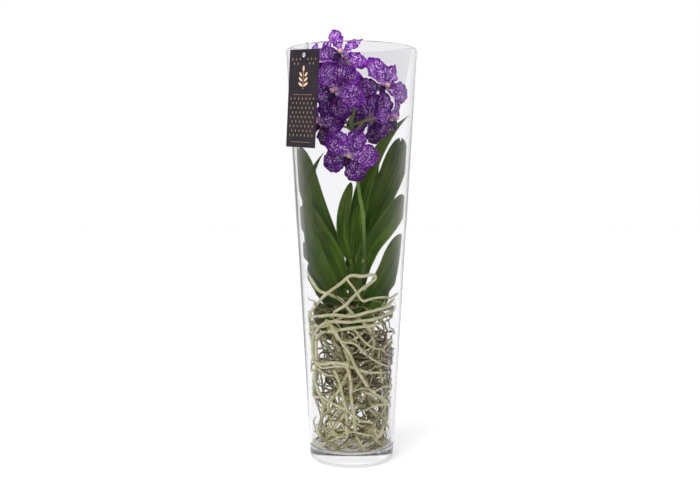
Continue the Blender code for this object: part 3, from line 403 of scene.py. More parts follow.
# The fine form of a tepal, in tepal lengths: ruffled edge, waved tip, crease of the midrib, nicks of the rim
TEPAL_CROWDING = 1.7
TEPAL_RUFFLE = 0.034
TEPAL_RUFFLE_TURNS = 5.2
TEPAL_RUFFLE_IN = 3
TEPAL_TIP_WAVE = 0.018
TEPAL_TIP_WAVE_FROM = 0.75
TEPAL_TIP_WAVE_TURN = 5.5
TEPAL_KEEL_SHAPE = 1.4
TEPAL_CREASE = 0.012
TEPAL_CREASE_WIDTH = 0.09
TEPAL_CREASE_LENGTH = 1.05
TEPAL_NICK = 0.016
TEPAL_NICK_TURNS = (7.3, 13)
TEPAL_EDGE = 5
TEPAL_RIM_THINNER = 0.55
TEPAL_END_THINNER = 0.4
TEPAL_END_FROM = 0.85
TEPAL_POINT = (0.72, 0.25)
TEPAL_LEAST = 0.04
# The lip's front lobe: its base, the way it points, its size and form
LIP_BASE = (0, -0.0026, 0.0022)
LIP_WAY = (0, -0.80, 0.62)
LIP_WIDTH = 0.0100
LIP_LENGTH = 0.0140
LIP_THICKNESS = 0.0009
LIP_ROWS = 17
LIP_COLUMNS = 13
LIP_CURL = 0.25
LIP_WAIST = (0.62, 1.15, 0.1)
LIP_END_FROM = 0.72
LIP_RIDGE = (0.00045, 9.4)
LIP_HOLLOW = 0.0016
# The small parts of a bloom: the two colours of their paint, its roughness and its mirroring where it is low
PART_PAINTS = {
    "lip": ("lip_dark", (0.022, 0.002, 0.045), (0.055, 0.006, 0.100), 0.5, 0.2),
    "side_lobes": ("lobe_cream", (0.62, 0.45, 0.60), (0.75, 0.68, 0.60), 0.5),
    "column": ("column_pink", (0.46, 0.13, 0.50), (0.66, 0.34, 0.66), 0.45),
    "cap": ("cap_cream", (0.78, 0.44, 0.33), (0.86, 0.60, 0.46), 0.4),
}
# Their round bodies: centre, half sizes, long axis
PART_BALLS = {
    "lip": (((0, -0.0042, 0.0016), (0.0034, 0.0026, 0.0040), (0, -0.4, -1)),),
    "side_lobes": (
        ((-0.0050, -0.0020, 0.0052), (0.0010, 0.0028, 0.0040), (-0.40, -0.1, 1)),
        ((0.0050, -0.0020, 0.0052), (0.0010, 0.0028, 0.0040), (0.40, -0.1, 1)),
    ),
    "column": (
        ((0, 0.0018, 0.0062), (0.0038, 0.0034, 0.0060), (0, 0.25, 1)),
        ((0, 0, 0), (HEART_RADIUS * 0.9, HEART_RADIUS * 0.9, HEART_RADIUS * 1.4), (0, 0, 1)),
    ),
    "cap": (((0, 0.0002, 0.0116), (0.0033, 0.0030, 0.0026), (0, -0.5, 1)),),
}

# Root colours: silver skin in cream and green, brown flecks and stains, dead roots
ROOT_CREAM = (0.98, 0.90, 0.62)
ROOT_GREEN = (0.76, 0.78, 0.43)
ROOT_FLECK = (0.42, 0.33, 0.16)
ROOT_STAIN = (0.20, 0.12, 0.055)
ROOT_DEAD = (0.13, 0.075, 0.032)
# A root's lumps (size and rate), its sway, its thinner end in steps, and its rise over the floor's corner
ROOT_LUMPS = ((0.07, 0.9), (0.05, 2.3))
ROOT_SWAY = 0.0006
ROOT_SWAY_RATE = 0.55
FINE_SWAY_FROM = 0.001
FINE_SWAY_RATE = 1.1
SWAY_RATES = (1.0, 0.8, 0.9)
SWAY_IN = 4
ROOT_TAIL = 5
ROOT_OFF_GLASS = 0.0012
CORNER_RISE = 60
CROWN_GIRTH = 0.0048
CROWN_SWELL = 0.0030
CROWN_SWELL_STEPS = 8
ROOT_TONES = (0.0, 0.1, 0.45)

# Thin roots that only the visible model has: where they start, how they turn, sink and drift
FINE_ROOT_SEED = 21
SIDE_ROOTS = 60
SIDE_GIRTH = (0.0012, 0.0019)
SIDE_TONES = (0.0, 0.2, 0.5)
HAIR_ROOTS = 90
HAIR_GIRTH = (0.0004, 0.0009)
HAIR_TONES = (0.4, 1.0)
HAIR_SWAY = 0.0012
TANGLE_ROOTS = 260
TANGLE_GIRTH = (0.0006, 0.0016)
TANGLE_TONES = (0.2, 0.6, 0.8, 0.9, 1.0)
FINE_SWAY = 0.0009
SIDE_STEP = 0.01
SIDE_TURN = (10, 22)
SIDE_UNEVEN = (0.6, 1.4)
SIDE_SLOPE = (-0.018, 0.004)
SIDE_RUNS = (5, 9)
SIDE_RISE = (-0.009, 0.009)
SIDE_HEIGHTS = (0.022, 0.245)
SIDE_DRIFT = (-0.010, 0.008)
SIDE_INSET = (0.005, 0.040)
TANGLE_CENTRE = (0.010, 0.004, 0.142)
TANGLE_SPREAD = (0.028, 0.026, 0.038)
TANGLE_WAY = (1, 1, 0.8)
TANGLE_TURN = 0.4
TANGLE_RUN = 0.011
TANGLE_RUNS = (5, 10)
TANGLE_HEIGHTS = (0.030, 0.225)
TANGLE_OFF_GLASS = 0.008


def ease(t):
    """Smooth step from 0 to 1."""
    t = min(1.0, max(0.0, t))
    return t * t * (3 - 2 * t)

def linked(name, data):
    """An object with the given data, in the scene."""
    made = bpy.data.objects.new(name, data)
    bpy.context.scene.collection.objects.link(made)
    return made


def blank_sheet(rows, columns):
    """Empty arrays for a sheet's points, places, shares and thickness."""
    return *(np.zeros((rows, columns, 3)) for _ in range(3)), np.zeros((rows, columns))


class Shape:
    """Collects closed pieces and makes one mesh object of them.

    Each vertex has a place (millimetres along, millimetres across, a number of its piece)
    and a share (0 to 1 along, -1 to 1 across, a tone), which the materials read.
    """

    def __init__(self):
        self.points = []
        self.faces = []
        self.places = []
        self.shares = []
        self.count = 0

    def add(self, points, faces, places, shares):
        self.points.append(np.asarray(points, float).reshape(-1, 3))
        self.places.append(np.asarray(places, float).reshape(-1, 3))
        self.shares.append(np.asarray(shares, float).reshape(-1, 3))
        self.faces.extend([tuple(int(i) + self.count for i in face) for face in faces])
        self.count += len(self.points[-1])

    def sheet(self, grid, thickness, places, shares):
        """A closed sheet around a grid of points: rows run along it, columns across."""
        along = np.gradient(grid, axis=0)
        across = np.gradient(grid, axis=1)
        normal = np.cross(across, along)
        normal /= np.maximum(np.linalg.norm(normal, axis=2, keepdims=True), 1e-12)
        half = np.asarray(thickness)[..., None] / 2
        rows, columns = grid.shape[:2]
        index = np.arange(rows * columns).reshape(rows, columns)
        under = index + rows * columns
        corners = (index[:-1, :-1], index[:-1, 1:], index[1:, 1:], index[1:, :-1])
        upper = np.stack(corners, axis=-1).reshape(-1, 4)
        faces = [tuple(face) for face in upper]
        faces += [tuple(face[::-1] + rows * columns) for face in upper]
        rim = [*index[0, :-1], *index[:-1, -1], *index[-1, :0:-1], *index[:0:-1, 0]]
        for here, there in zip(rim, rim[1:] + rim[:1]):
            faces.append((there, here, under.flat[here], under.flat[there]))
        self.add(
            np.concatenate([(grid + normal * half).reshape(-1, 3), (grid - normal * half).reshape(-1, 3)]),
            faces,
            np.concatenate([places.reshape(-1, 3)] * 2),
            np.concatenate([shares.reshape(-1, 3)] * 2),
        )

    def tube(self, route, radii, sides, number=0.0, tone=0.0, flat=1.0):
        """A closed tube along a route, with round ends."""
        route = np.array([tuple(p) for p in route], float)
        radii = np.asarray(radii, float)
        count = len(route)
        forward = np.gradient(route, axis=0)
        forward /= np.maximum(np.linalg.norm(forward, axis=1, keepdims=True), 1e-12)
        side = np.cross(forward[0], (0.0, 0.0, 1.0) if abs(forward[0][2]) < 0.9 else (1.0, 0.0, 0.0))
        gone = np.concatenate([[0.0], np.cumsum(np.linalg.norm(np.diff(route, axis=0), axis=1))])
        angles = np.linspace(0, 2 * pi, sides, endpoint=False)
        points, places, shares = [], [], []
        for i in range(count):
            side = side - forward[i] * np.dot(side, forward[i])
            side /= np.linalg.norm(side)
            other = np.cross(forward[i], side)
            ring = np.outer(np.cos(angles), side) + np.outer(np.sin(angles) * flat, other)
            points.append(route[i] + ring * radii[i])
            places.append([(gone[i] * 1000, a * radii[i] * 1000, number) for a in angles])
            shares.append([(i / (count - 1), cos(a), tone) for a in angles])
        faces = []
        for i in range(count - 1):
            for j in range(sides):
                k = (j + 1) % sides
                faces.append((i * sides + j, i * sides + k, (i + 1) * sides + k, (i + 1) * sides + j))
        for end, sign in ((0, -1), (count - 1, 1)):
            tip = route[end] + forward[end] * radii[end] * 0.6 * sign
            points.append([tip])
            places.append([(gone[end] * 1000, 0, number)])
            shares.append([(end / (count - 1), 0, tone)])
            centre = count * sides + (0 if end == 0 else 1)
            for j in range(sides):
                k = (j + 1) % sides
                ring_start = end * sides
                corners = (ring_start + j, ring_start + k, centre)
                faces.append(corners if sign > 0 else corners[::-1])
        self.add(np.concatenate(points), faces, np.concatenate(places), np.concatenate(shares))

    def ball(self, centre, radii, axis=(0, 0, 1), number=0.0, tone=0.0, segments=20, rings=12):
        """An ellipsoid with its long axis along the given direction."""
        turn = np.array(Vector(axis).to_track_quat("Z", "Y").to_matrix())
        points, places, shares = [], [], []
        for i in range(rings + 1):
            polar = pi * i / rings
            for j in range(segments):
                angle = 2 * pi * j / segments
                unit = (sin(polar) * cos(angle), sin(polar) * sin(angle), cos(polar))
                points.append(np.array(centre) + turn @ (np.array(unit) * np.array(radii)))
                places.append((unit[2] * radii[2] * 1000, unit[0] * radii[0] * 1000, number))
                shares.append((0.5 + unit[2] / 2, unit[0], tone))
        faces = []
        for i in range(rings):
            for j in range(segments):
                k = (j + 1) % segments
                if i == 0:
                    faces.append((0, (i + 1) * segments + j, (i + 1) * segments + k))
                elif i == rings - 1:
                    faces.append((i * segments + k, i * segments + j, rings * segments))
                else:
                    below = (i + 1) * segments
                    faces.append((i * segments + k, i * segments + j, below + j, below + k))
        used = sorted({v for face in faces for v in face})
        new = {old: i for i, old in enumerate(used)}
        self.add(
            [points[v] for v in used], [tuple(new[v] for v in face) for face in faces],
            [places[v] for v in used], [shares[v] for v in used],
        )

    def move(self, matrix):
        """Moves everything collected so far."""
        turn = np.array(matrix.to_3x3())
        shift = np.array(matrix.translation)
        self.points = [points @ turn.T + shift for points in self.points]

    def build(self, name, material, replaces=()):
        mesh = bpy.data.meshes.new(name)
        mesh.from_pydata(np.concatenate(self.points).tolist(), [], self.faces)
        for attribute, values in (("place", self.places), ("share", self.shares)):
            layer = mesh.attributes.new(attribute, "FLOAT_VECTOR", "POINT")
            layer.data.foreach_set("vector", np.concatenate(values).astype(np.float32).ravel())
        mesh.shade_smooth()
        mesh.update()
        piece = linked(name, mesh)
        mesh.materials.append(material)
        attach(piece, "root")
        if replaces:
            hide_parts(*replaces)
        return piece


class Paint:
    """A Principled material with short calls for the nodes that feed it."""

    def __init__(self, name, **constants):
        self.material = bpy.data.materials.new(name)
        self.material.use_nodes = True
        self.tree = self.material.node_tree
        self.shader = self.tree.nodes["Principled BSDF"]
        for socket, value in constants.items():
            self.shader.inputs[socket.replace("_", " ")].default_value = value

    def node(self, kind, settings=None, **inputs):
        made = self.tree.nodes.new("ShaderNode" + kind)
        for key, value in (settings or {}).items():
            setattr(made, key, value)
        for key, value in inputs.items():
            self.put(made.inputs[key.replace("_", " ")], value)
        return made

    def put(self, socket, value):
        """Links an output to a socket, or sets the socket's own value."""
        if isinstance(value, bpy.types.NodeSocket):
            self.tree.links.new(value, socket)
        else:
            socket.default_value = value

    def attribute(self, name):
        return self.node("Attribute", {"attribute_name": name}).outputs["Vector"]

    def split(self, vector):
        return self.node("SeparateXYZ", Vector=vector).outputs

    def scaled(self, vector, scale):
        made = self.node("Mapping", Vector=vector)
        made.inputs["Scale"].default_value = scale
        return made.outputs["Vector"]

    def noise(self, vector, scale, detail=3.0, roughness=0.5):
        made = self.node("TexNoise", Vector=vector, Scale=scale, Detail=detail, Roughness=roughness)
        return made.outputs["Fac"]

    def streaks(self, vector, stretch, detail=3.0, roughness=0.5):
        """Noise with its own fineness along, across and from piece to piece."""
        return self.noise(self.scaled(vector, stretch), 1.0, detail, roughness)

    def net(self, vector):
        """The distance to the nearest border in a net of uneven cells."""
        settings = {"feature": "DISTANCE_TO_EDGE"}
        made = self.node("TexVoronoi", settings, Vector=vector, Scale=1.0, Randomness=1.0)
        return made.outputs["Distance"]

    def math(self, operation, a, b=0.0, c=0.0):
        made = self.node("Math", {"operation": operation})
        for socket, value in zip(made.inputs, (a, b, c)):
            self.put(socket, value)
        return made.outputs[0]

    def fade(self, value, low, high, to_low=0.0, to_high=1.0):
        """A value's range low to high mapped smoothly to to_low to to_high."""
        made = self.node("MapRange", {"interpolation_type": "SMOOTHSTEP"})
        for socket, number in zip(made.inputs, (value, low, high, to_low, to_high)):
            self.put(socket, number)
        return made.outputs[0]

    def mix(self, share, first, second):
        made = self.node("Mix", {"data_type": "RGBA"})
        self.put(made.inputs[0], share)
        for socket, colour in zip((made.inputs[6], made.inputs[7]), (first, second)):
            self.put(socket, (*colour, 1.0) if isinstance(colour, tuple) else colour)
        return made.outputs[2]

    def product(self, first, *others):
        for other in others:
            first = self.math("MULTIPLY", first, other)
        return first

    def coats(self, colour, *layers):
        """Lays colours over one another, each as a value, the range that it fades in over, and the colour."""
        for value, fade, layer in layers:
            colour = self.mix(self.fade(value, *fade), colour, layer)
        return colour

    def finish(self, colour=None, roughness=None, height=None, strength=0.5, distance=0.0005):
        if colour is not None:
            self.put(self.shader.inputs["Base Color"], colour)
        if roughness is not None:
            self.put(self.shader.inputs["Roughness"], roughness)
        if height is not None:
            bump = self.node("Bump", Height=height, Strength=strength, Distance=distance)
            self.put(self.shader.inputs["Normal"], bump.outputs["Normal"])
        return self.material


def petal_paint(name, dark, middle, light, fleck):
    """Deep violet with a broken pale net over most of the petal, darker veins and a plain rim."""
    paint = Paint(name, Roughness=0.6, Specular_IOR_Level=0.08)
    place = paint.attribute("place")
    along, across, tone = paint.split(paint.attribute("share"))
    wide = paint.math("ABSOLUTE", across)
    ground = paint.streaks(place, (0.10, 0.16, 1.0))
    veins = paint.streaks(place, (0.05, 0.70, 1.0), 2.0)
    broken = paint.streaks(place, (0.42, 0.42, 1.0), 2.0)
    patches = paint.streaks(place, (0.11, 0.11, 1.0), 2.0)
    net = paint.net(paint.scaled(place, (0.30, 0.38, 3.0)))
    lit = paint.product(
        paint.fade(net, 0.06, 0.16, 1.0, 0.0),
        paint.fade(broken, 0.48, 0.54),
        paint.fade(patches, 0.36, 0.56, 0.10, 1.0),
        paint.fade(along, 0.70, 0.92, 1.0, 0.0),
        paint.fade(wide, 0.66, 0.90, 1.0, 0.0),
        paint.fade(tone, 0.15, 1.0, 1.0, 0.45),
    )
    colour = paint.coats(
        middle,
        (ground, (0.38, 0.66), light),
        (veins, (0.50, 0.62, 0.0, 0.85), dark),
        (tone, (0.0, 1.0, 0.0, 0.85), dark),
    )
    colour = paint.mix(lit, colour, fleck)
    colour = paint.coats(colour, (along, (0.02, 0.22, 0.30, 0.0), fleck))
    relief = paint.math("ADD", paint.math("MULTIPLY", veins, 0.8), paint.math("MULTIPLY", broken, 0.25))
    return paint.finish(colour, height=relief, strength=0.6, distance=0.0008)


def leaf_paint(name):
    """Leathery green with lengthwise bands and fine grain, a sunk midrib darkened by painted shade, one half
    of the fold darkened by painted shade, olive towards the tip.
    """
    paint = Paint(name, Specular_IOR_Level=0.16)
    place = paint.attribute("place")
    along, across, tone = paint.split(paint.attribute("share"))
    wide = paint.math("ABSOLUTE", across)
    patches = paint.streaks(place, (0.022, 0.06, 3.0))
    bands = paint.streaks(place, (0.004, 0.34, 3.0), 2.0)
    grain = paint.streaks(place, (0.012, 1.6, 3.0))
    olive = paint.product(paint.fade(along, 0.35, 0.90, 0.0, 0.75), paint.fade(patches, 0.30, 0.60, 0.4, 1.0))
    colour = paint.coats(
        LEAF_DEEP,
        (patches, NOISE_RANGE, LEAF_BRIGHT),
        (bands, (0.42, 0.60, 0.0, 0.60), LEAF_DARK_STREAK_AND_SHADE),
        (grain, (0.35, 0.70, 0.0, 0.40), LEAF_DARK_STREAK_AND_SHADE),
        # Painted shade: one half of the folded blade is darker than the other, as the fold turns it from the
        # light
        (across, (-0.10, 0.10, 0.30, 0.0), LEAF_DARK_STREAK_AND_SHADE),
        (tone, (0.0, 1.0, 0.0, 0.70), LEAF_SHADE),
    )
    colour = paint.coats(
        paint.mix(olive, colour, LEAF_OLIVE),
        # Painted shade along the sunk midrib, where the fold makes a crease
        (wide, (0.0, 0.08, 0.75, 0.0), LEAF_DARK_STREAK_AND_SHADE),
        (wide, (0.90, 1.0, 0.0, 0.55), LEAF_EDGE),
    )
    relief = paint.math("ADD", paint.math("ADD", grain, bands), paint.fade(wide, 0.0, 0.08, -0.9, 0.0))
    roughness = paint.fade(patches, 0.3, 0.7, 0.38, 0.54)
    return paint.finish(colour, roughness, relief, strength=0.45, distance=0.0007)


def root_paint(name):
    """Spongy silver-green skin with cream and brown stretches; a tone of 1 is a dead brown root."""
    paint = Paint(name, Roughness=0.85, Specular_IOR_Level=0.2)
    place = paint.attribute("place")
    tone = paint.split(paint.attribute("share"))[2]
    stretches = paint.streaks(place, (0.035, 0.05, 5.0))
    mottle = paint.streaks(place, (0.5, 0.7, 5.0))
    stain = paint.streaks(place, (0.09, 0.2, 9.0), 4.0, 0.65)
    colour = paint.coats(
        ROOT_CREAM,
        (stretches, NOISE_RANGE, ROOT_GREEN),
        (mottle, (0.48, 0.74, 0.0, 0.45), ROOT_FLECK),
        (stain, (0.58, 0.72, 0.0, 0.75), ROOT_STAIN),
        (tone, (0.0, 1.0, 0.0, 0.9), ROOT_DEAD),
    )
    relief = paint.math("ADD", mottle, paint.math("MULTIPLY", stain, 0.6))
    return paint.finish(colour, height=relief, strength=0.6, distance=0.0008)


def stalk_paint(name):
    """Green stalk that turns to pink and lilac towards the blooms, by its tone, with painted shade on its low
    part.
    """
    paint = Paint(name, Roughness=0.45, Specular_IOR_Level=0.45)
    tone = paint.split(paint.attribute("share"))[2]
    spots = paint.streaks(paint.attribute("place"), (0.5, 0.8, 2.0))
    colour = paint.coats(
        STALK_GREEN,
        (spots, NOISE_RANGE, STALK_BRIGHT),
        # Painted shade: the low stalk, whose tone is near 0, is darkened as if shaded by the leaves
        (tone, (0.0, 0.1, 0.85, 0.0), STALK_PAINTED_SHADE),
        (tone, (0.25, 0.75), STALK_OCHRE),
        (tone, (0.75, 1.0), STALK_LILAC),
    )
    return paint.finish(colour, height=spots, strength=0.25, distance=0.0004)


def plain_paint(name, colour, second, roughness, mirroring=0.5):
    """One colour with a little soft variation in a second."""
    paint = Paint(name, Roughness=roughness, Specular_IOR_Level=mirroring)
    spots = paint.noise(paint.attribute("place"), 0.8)
    return paint.finish(paint.coats(colour, (spots, NOISE_RANGE, second)), height=spots, strength=0.3)


def glass_paint(name, clearness, mirroring):
    """Clear glass: how much light it lets through and how strongly it mirrors, both from 0 to 1."""
    paint = Paint(name, Roughness=0.0, IOR=1.48, Transmission_Weight=1.0)
    paint.shader.inputs["Base Color"].default_value = (clearness, clearness, min(1.0, clearness * 1.01), 1.0)
    paint.shader.inputs["Specular Tint"].default_value = (mirroring, mirroring, mirroring, 1.0)
    return paint.material


def strap_paint():
    paint = Paint("clear_plastic", Roughness=0.12, IOR=1.46, Transmission_Weight=0.80)
    paint.shader.inputs["Base Color"].default_value = STRAP_COLOUR
    return paint.material


def card_paint():
    """Dark card with a faint paper tooth and soft cloudy patches."""
    paint = Paint("dark_card", Specular_IOR_Level=0.18)
    spot = paint.node("TexCoord").outputs["Object"]
    tooth = paint.noise(spot, 2600.0, 4.0)
    cloud = paint.noise(spot, 45.0, 2.0)
    colour = paint.coats(CARD_COLOURS[0], (cloud, NOISE_RANGE, CARD_COLOURS[1]))
    return paint.finish(colour, paint.fade(cloud, 0.3, 0.7, 0.5, 0.62), tooth, strength=0.12, distance=0.0002)


def print_paint():
    """Warm printing inks with a slight sheen: pale for a tone of 0 and bronze for a tone of 1."""
    paint = Paint("warm_print", Metallic=0.25, Roughness=0.45)
    light, bright, bronze = INK_COLOURS
    grain = paint.noise(paint.node("TexCoord").outputs["Object"], 900.0)
    tone = paint.split(paint.attribute("share"))[2]
    pale = paint.coats(light, (grain, (0.3, 0.7), bright))
    return paint.finish(paint.mix(tone, pale, bronze))


def wall_radius(height):
    """Inner radius of the glass at a height."""
    slope = (VASE_TOP_RADIUS - VASE_FOOT_RADIUS) / VASE_HEIGHT
    return VASE_FOOT_RADIUS + slope * height - VASE_WALL


def on_wall(bearing, height, inset):
    """A point inside the glass: bearing in degrees from the front, positive to the right."""
    radius = wall_radius(height) - inset
    angle = radians(bearing)
    return Vector((radius * sin(angle), -radius * cos(angle), height))


def smooth_route(points, step):
    """Points about a step apart on the Catmull-Rom curve through the given points."""
    points = [Vector(p) for p in points]
    ends = [points[0] * 2 - points[1]] + points + [points[-1] * 2 - points[-2]]
    route = [points[0]]
    for before, start, end, after in zip(ends, ends[1:], ends[2:], ends[3:]):
        count = max(1, round((end - start).length / step))
        for i in range(1, count + 1):
            t = i / count
            route.append(0.5 * (
                2 * start
                + (end - before) * t
                + (2 * before - 5 * start + 4 * end - after) * t**2
                + (3 * start - before - 3 * end + after) * t**3
            ))
    return route


def bezier(p0, p1, p2, p3, t):
    s = 1 - t
    return p0 * s**3 + p1 * (3 * s * s * t) + p2 * (3 * s * t * t) + p3 * t**3


def cubic_through(start, middle_1, middle_2, tip):
    """The four control points of the cubic that passes both middle points at one and two thirds."""
    m1, m2, end = Vector(middle_1), Vector(middle_2), Vector(tip)
    control_1 = (18 * m1 - 9 * m2 - 5 * start + 2 * end) / 6
    control_2 = (18 * m2 - 9 * m1 - 5 * end + 2 * start) / 6
    return start, control_1, control_2, end


def arc(centre, radius, start, end):
    """Points of a profile's round stretch, angles in degrees from +X."""
    angles = [radians(start + (end - start) * i / ARC_STEPS) for i in range(ARC_STEPS + 1)]
    return [(centre[0] + radius * cos(a), centre[1] + radius * sin(a)) for a in angles]


def within(point, limit):
    """The point itself, or the nearest one that is no further than the limit from the vase's axis."""
    reach = hypot(point.x, point.y)
    if reach > limit:
        return Vector((point.x * limit / reach, point.y * limit / reach, point.z))
    return point


def glass_profile():
    """From the floor's middle over the rim and the round foot to the middle of the underside."""
    lean = degrees(atan2(VASE_TOP_RADIUS - VASE_FOOT_RADIUS, VASE_HEIGHT))
    half = VASE_WALL / 2
    rim = arc((VASE_TOP_RADIUS - half, VASE_HEIGHT - half), half, -lean, 180 - lean)
    foot = VASE_FOOT_RADIUS + GLASS_FOOT_SWELL
    outer_foot = arc((foot - GLASS_FOOT_ROUND, GLASS_FOOT_ROUND), GLASS_FOOT_ROUND, -90, -lean)
    height = VASE_FLOOR + GLASS_FLOOR_ROUND
    inner_foot = arc((wall_radius(height) - GLASS_FLOOR_ROUND, height), GLASS_FLOOR_ROUND, -lean, -90)
    return [(0.0, VASE_FLOOR), *inner_foot[::-1], *rim[::-1], *outer_foot[::-1], *GLASS_HOLLOW[::-1]]


def make_vase(wall_glass, foot_glass):
    """The turned glass, with a clearer glass in its thick foot."""
    profile = glass_profile()
    mesh = bpy.data.meshes.new("glass_vase")
    edges = [(i, i + 1) for i in range(len(profile) - 1)]
    mesh.from_pydata([(radius, 0.0, height) for radius, height in profile], edges, [])
    vase = linked("glass_vase", mesh)
    screw = vase.modifiers.new("Screw", "SCREW")
    screw.steps = VASE_TURNS
    screw.render_steps = VASE_TURNS
    screw.use_merge_vertices = True
    screw.merge_threshold = 0.00001
    screw.use_smooth_shade = True
    bpy.context.view_layer.update()
    graph = bpy.context.evaluated_depsgraph_get()
    mesh = bpy.data.meshes.new_from_object(vase.evaluated_get(graph))
    vase.modifiers.clear()
    vase.data = mesh
    mesh.materials.append(wall_glass)
    mesh.materials.append(foot_glass)
    for face in mesh.polygons:
        face.material_index = int(face.center.z < VASE_FLOOR + FOOT_GLASS_ABOVE_FLOOR)
    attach(vase, "root")
    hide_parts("vase")
    return vase


def tag_frame():
    """Where the tag hangs: its origin is on the rim's outer edge, X across, Z up, -Y away from the glass."""
    flat = VASE_TOP_RADIUS * cos(pi / VASE_SIDES)
    return Matrix.Rotation(TAG_YAW, 4, "Z") @ Matrix.Translation((0.0, -flat, VASE_HEIGHT))


def flat_shape(shape, outline, face_y, tone=0.0):
    """A thin printed patch with the given outline in the card's plane, and the tone of its ink."""
    points = [(x, face_y - TAG_PRINT_THICKNESS, z) for x, z in outline]
    points += [(x, face_y, z) for x, z in outline]
    count = len(outline)
    faces = [tuple(range(count)), tuple(range(2 * count - 1, count - 1, -1))]
    faces += [((i + 1) % count, i, count + i, count + (i + 1) % count) for i in range(count)]
    shape.add(points, faces, [(0, 0, 0)] * (2 * count), [(0, 0, tone)] * (2 * count))


def leaf_patch(x, z, length, turn):
    """The outline of a small pointed oval, turned by an angle in degrees."""
    angle = radians(turn)
    outline = []
    for i in range(SPRIG_LEAF_POINTS):
        a = 2 * pi * i / SPRIG_LEAF_POINTS
        u = cos(a) * length / 2
        v = sin(a) * abs(sin(a)) ** SPRIG_LEAF_BULGE * SPRIG_LEAF[1] / 2
        outline.append((x + u * cos(angle) - v * sin(angle), z + u * sin(angle) + v * cos(angle)))
    return outline


def box_patch(z, half_width, half_height):
    """The outline of a rectangle in the card's middle."""
    low, high = z - half_height, z + half_height
    return [(-half_width, low), (half_width, low), (half_width, high), (-half_width, high)]


def sprig_patches(z):
    """Three pairs of leaves, a top leaf and a stem."""
    for i, turn in enumerate(SPRIG_TURNS):
        side = -1 if i % 2 == 0 else 1
        pair = i // 2
        level = z + pair * SPRIG_LEVEL - SPRIG_LOWEST
        yield leaf_patch(side * SPRIG_LEAF_OUT, level, SPRIG_LEAF[0] - SPRIG_LEAF_SHORTER * pair, turn)
    yield leaf_patch(0.0, z + SPRIG_TOP_LEAF[0], SPRIG_TOP_LEAF[1], 90)
    yield box_patch(z + SPRIG_STEM[0], *SPRIG_STEM[1:])


def bronze_patches(top):
    """Rows of lozenges, shifted in turn and left out beside the card's edge, and two frame lines."""
    wide, high = LOZENGE_HALF
    for row, share in enumerate(LOZENGE_ROWS):
        z = top - TAG_HEIGHT * share
        offset = LOZENGE_PITCH / 2 if row % 2 else 0.0
        for column in LOZENGE_COLUMNS:
            x = column * LOZENGE_PITCH + offset
            beside = abs(x) > TAG_WIDTH / 2 - LOZENGE_MARGIN
            if not beside and not (row < UPPER_ROWS and abs(x) < UPPER_ROWS_GAP):
                yield [(x - wide, z), (x, z - high), (x + wide, z), (x, z + high)]
    for share in FRAME_LINES_AT:
        yield box_patch(top - TAG_HEIGHT * share, *FRAME_LINE_HALF)


def make_tag_print(ink):
    """A generic design: a pale sprig at the top, with bronze lozenges and lines round and below it."""
    shape = Shape()
    face_y = -TAG_THICKNESS / 2 - TAG_FACE_LIFT
    top = TAG_HOLE_BELOW_TOP
    for outline in sprig_patches(top - TAG_HEIGHT * SPRIG_AT):
        flat_shape(shape, outline, face_y)
    for outline in bronze_patches(top):
        flat_shape(shape, outline, face_y, tone=1.0)
    hole_height = -TAG_TOP_BELOW_RIM - TAG_HOLE_BELOW_TOP
    pivot = tag_frame() @ Matrix.Translation((0.0, -TAG_STANDOFF, hole_height))
    shape.move(pivot @ Matrix.Rotation(TAG_SWING, 4, "Y"))
    piece = shape.build("tag_print", ink)
    piece.data.shade_flat()
    return piece


def stem_point(height):
    share = (height - CROWN_TOP.z) / (STEM_TOP.z - CROWN_TOP.z)
    return CROWN_TOP.lerp(STEM_TOP, share)


def blade_start(base, middle_1, middle_2, tip):
    """The end of a leaf's sheath and the way that its blade goes on from there."""
    start, control, _, _ = cubic_through(Vector(base), middle_1, middle_2, tip)
    return start, (control - start).normalized()


def make_stem(green):
    """The leafy stem with its sheaths, each a sleeve that opens into a blade, and the stub of the stalk."""
    shape = Shape()
    low = CROWN_TOP + Vector((0, 0, SEAT))
    core = smooth_route([low, low.lerp(STEM_TOP, 0.5), STEM_TOP], STEM_STEP)
    last = len(core) - 1
    widths = [
        STEM_RADIUS + (STEM_TOP_RADIUS - STEM_RADIUS) * i / last
        + STEM_JOINT_SWELL * exp(-((place.z - STEM_JOINT_HEIGHT) / STEM_JOINT_REACH) ** 2)
        for i, place in enumerate(core)
    ]
    shape.tube(core, widths, STEM_SIDES, number=3.0, tone=0.2)
    girth_lost = SHEATH_END_RADIUS - SHEATH_RADIUS
    for number, (name, base, middle_1, middle_2, tip, *_) in enumerate(LEAVES):
        end, ahead = blade_start(base, middle_1, middle_2, tip)
        root = stem_point(end.z - SHEATH_RISE)
        neck = end - ahead * SHEATH_NECK
        waypoints = [root, root.lerp(neck, SHEATH_MIDDLE), neck, end + ahead * SHEATH_BEYOND]
        route = smooth_route(waypoints, FINE_STEP)
        last = len(route) - 1
        widths = [SHEATH_RADIUS + girth_lost * ease(i / last) for i in range(last + 1)]
        shape.tube(route, widths, SHEATH_SIDES, number + 5.0, tone=0.15)
    foot = Vector(SPIKE_ROUTE[0])
    onward = (Vector(SPIKE_ROUTE[1]) - foot).normalized()
    stub = smooth_route([stem_point(foot.z - STUB_BELOW_STALK), foot - onward * STUB_END, foot], STUB_STEP)
    shape.tube(stub, [STUB_RADIUS] * len(stub), SHEATH_SIDES, number=30.0, tone=0.1)
    return shape.build("leafy_stem", green, ("stem",))


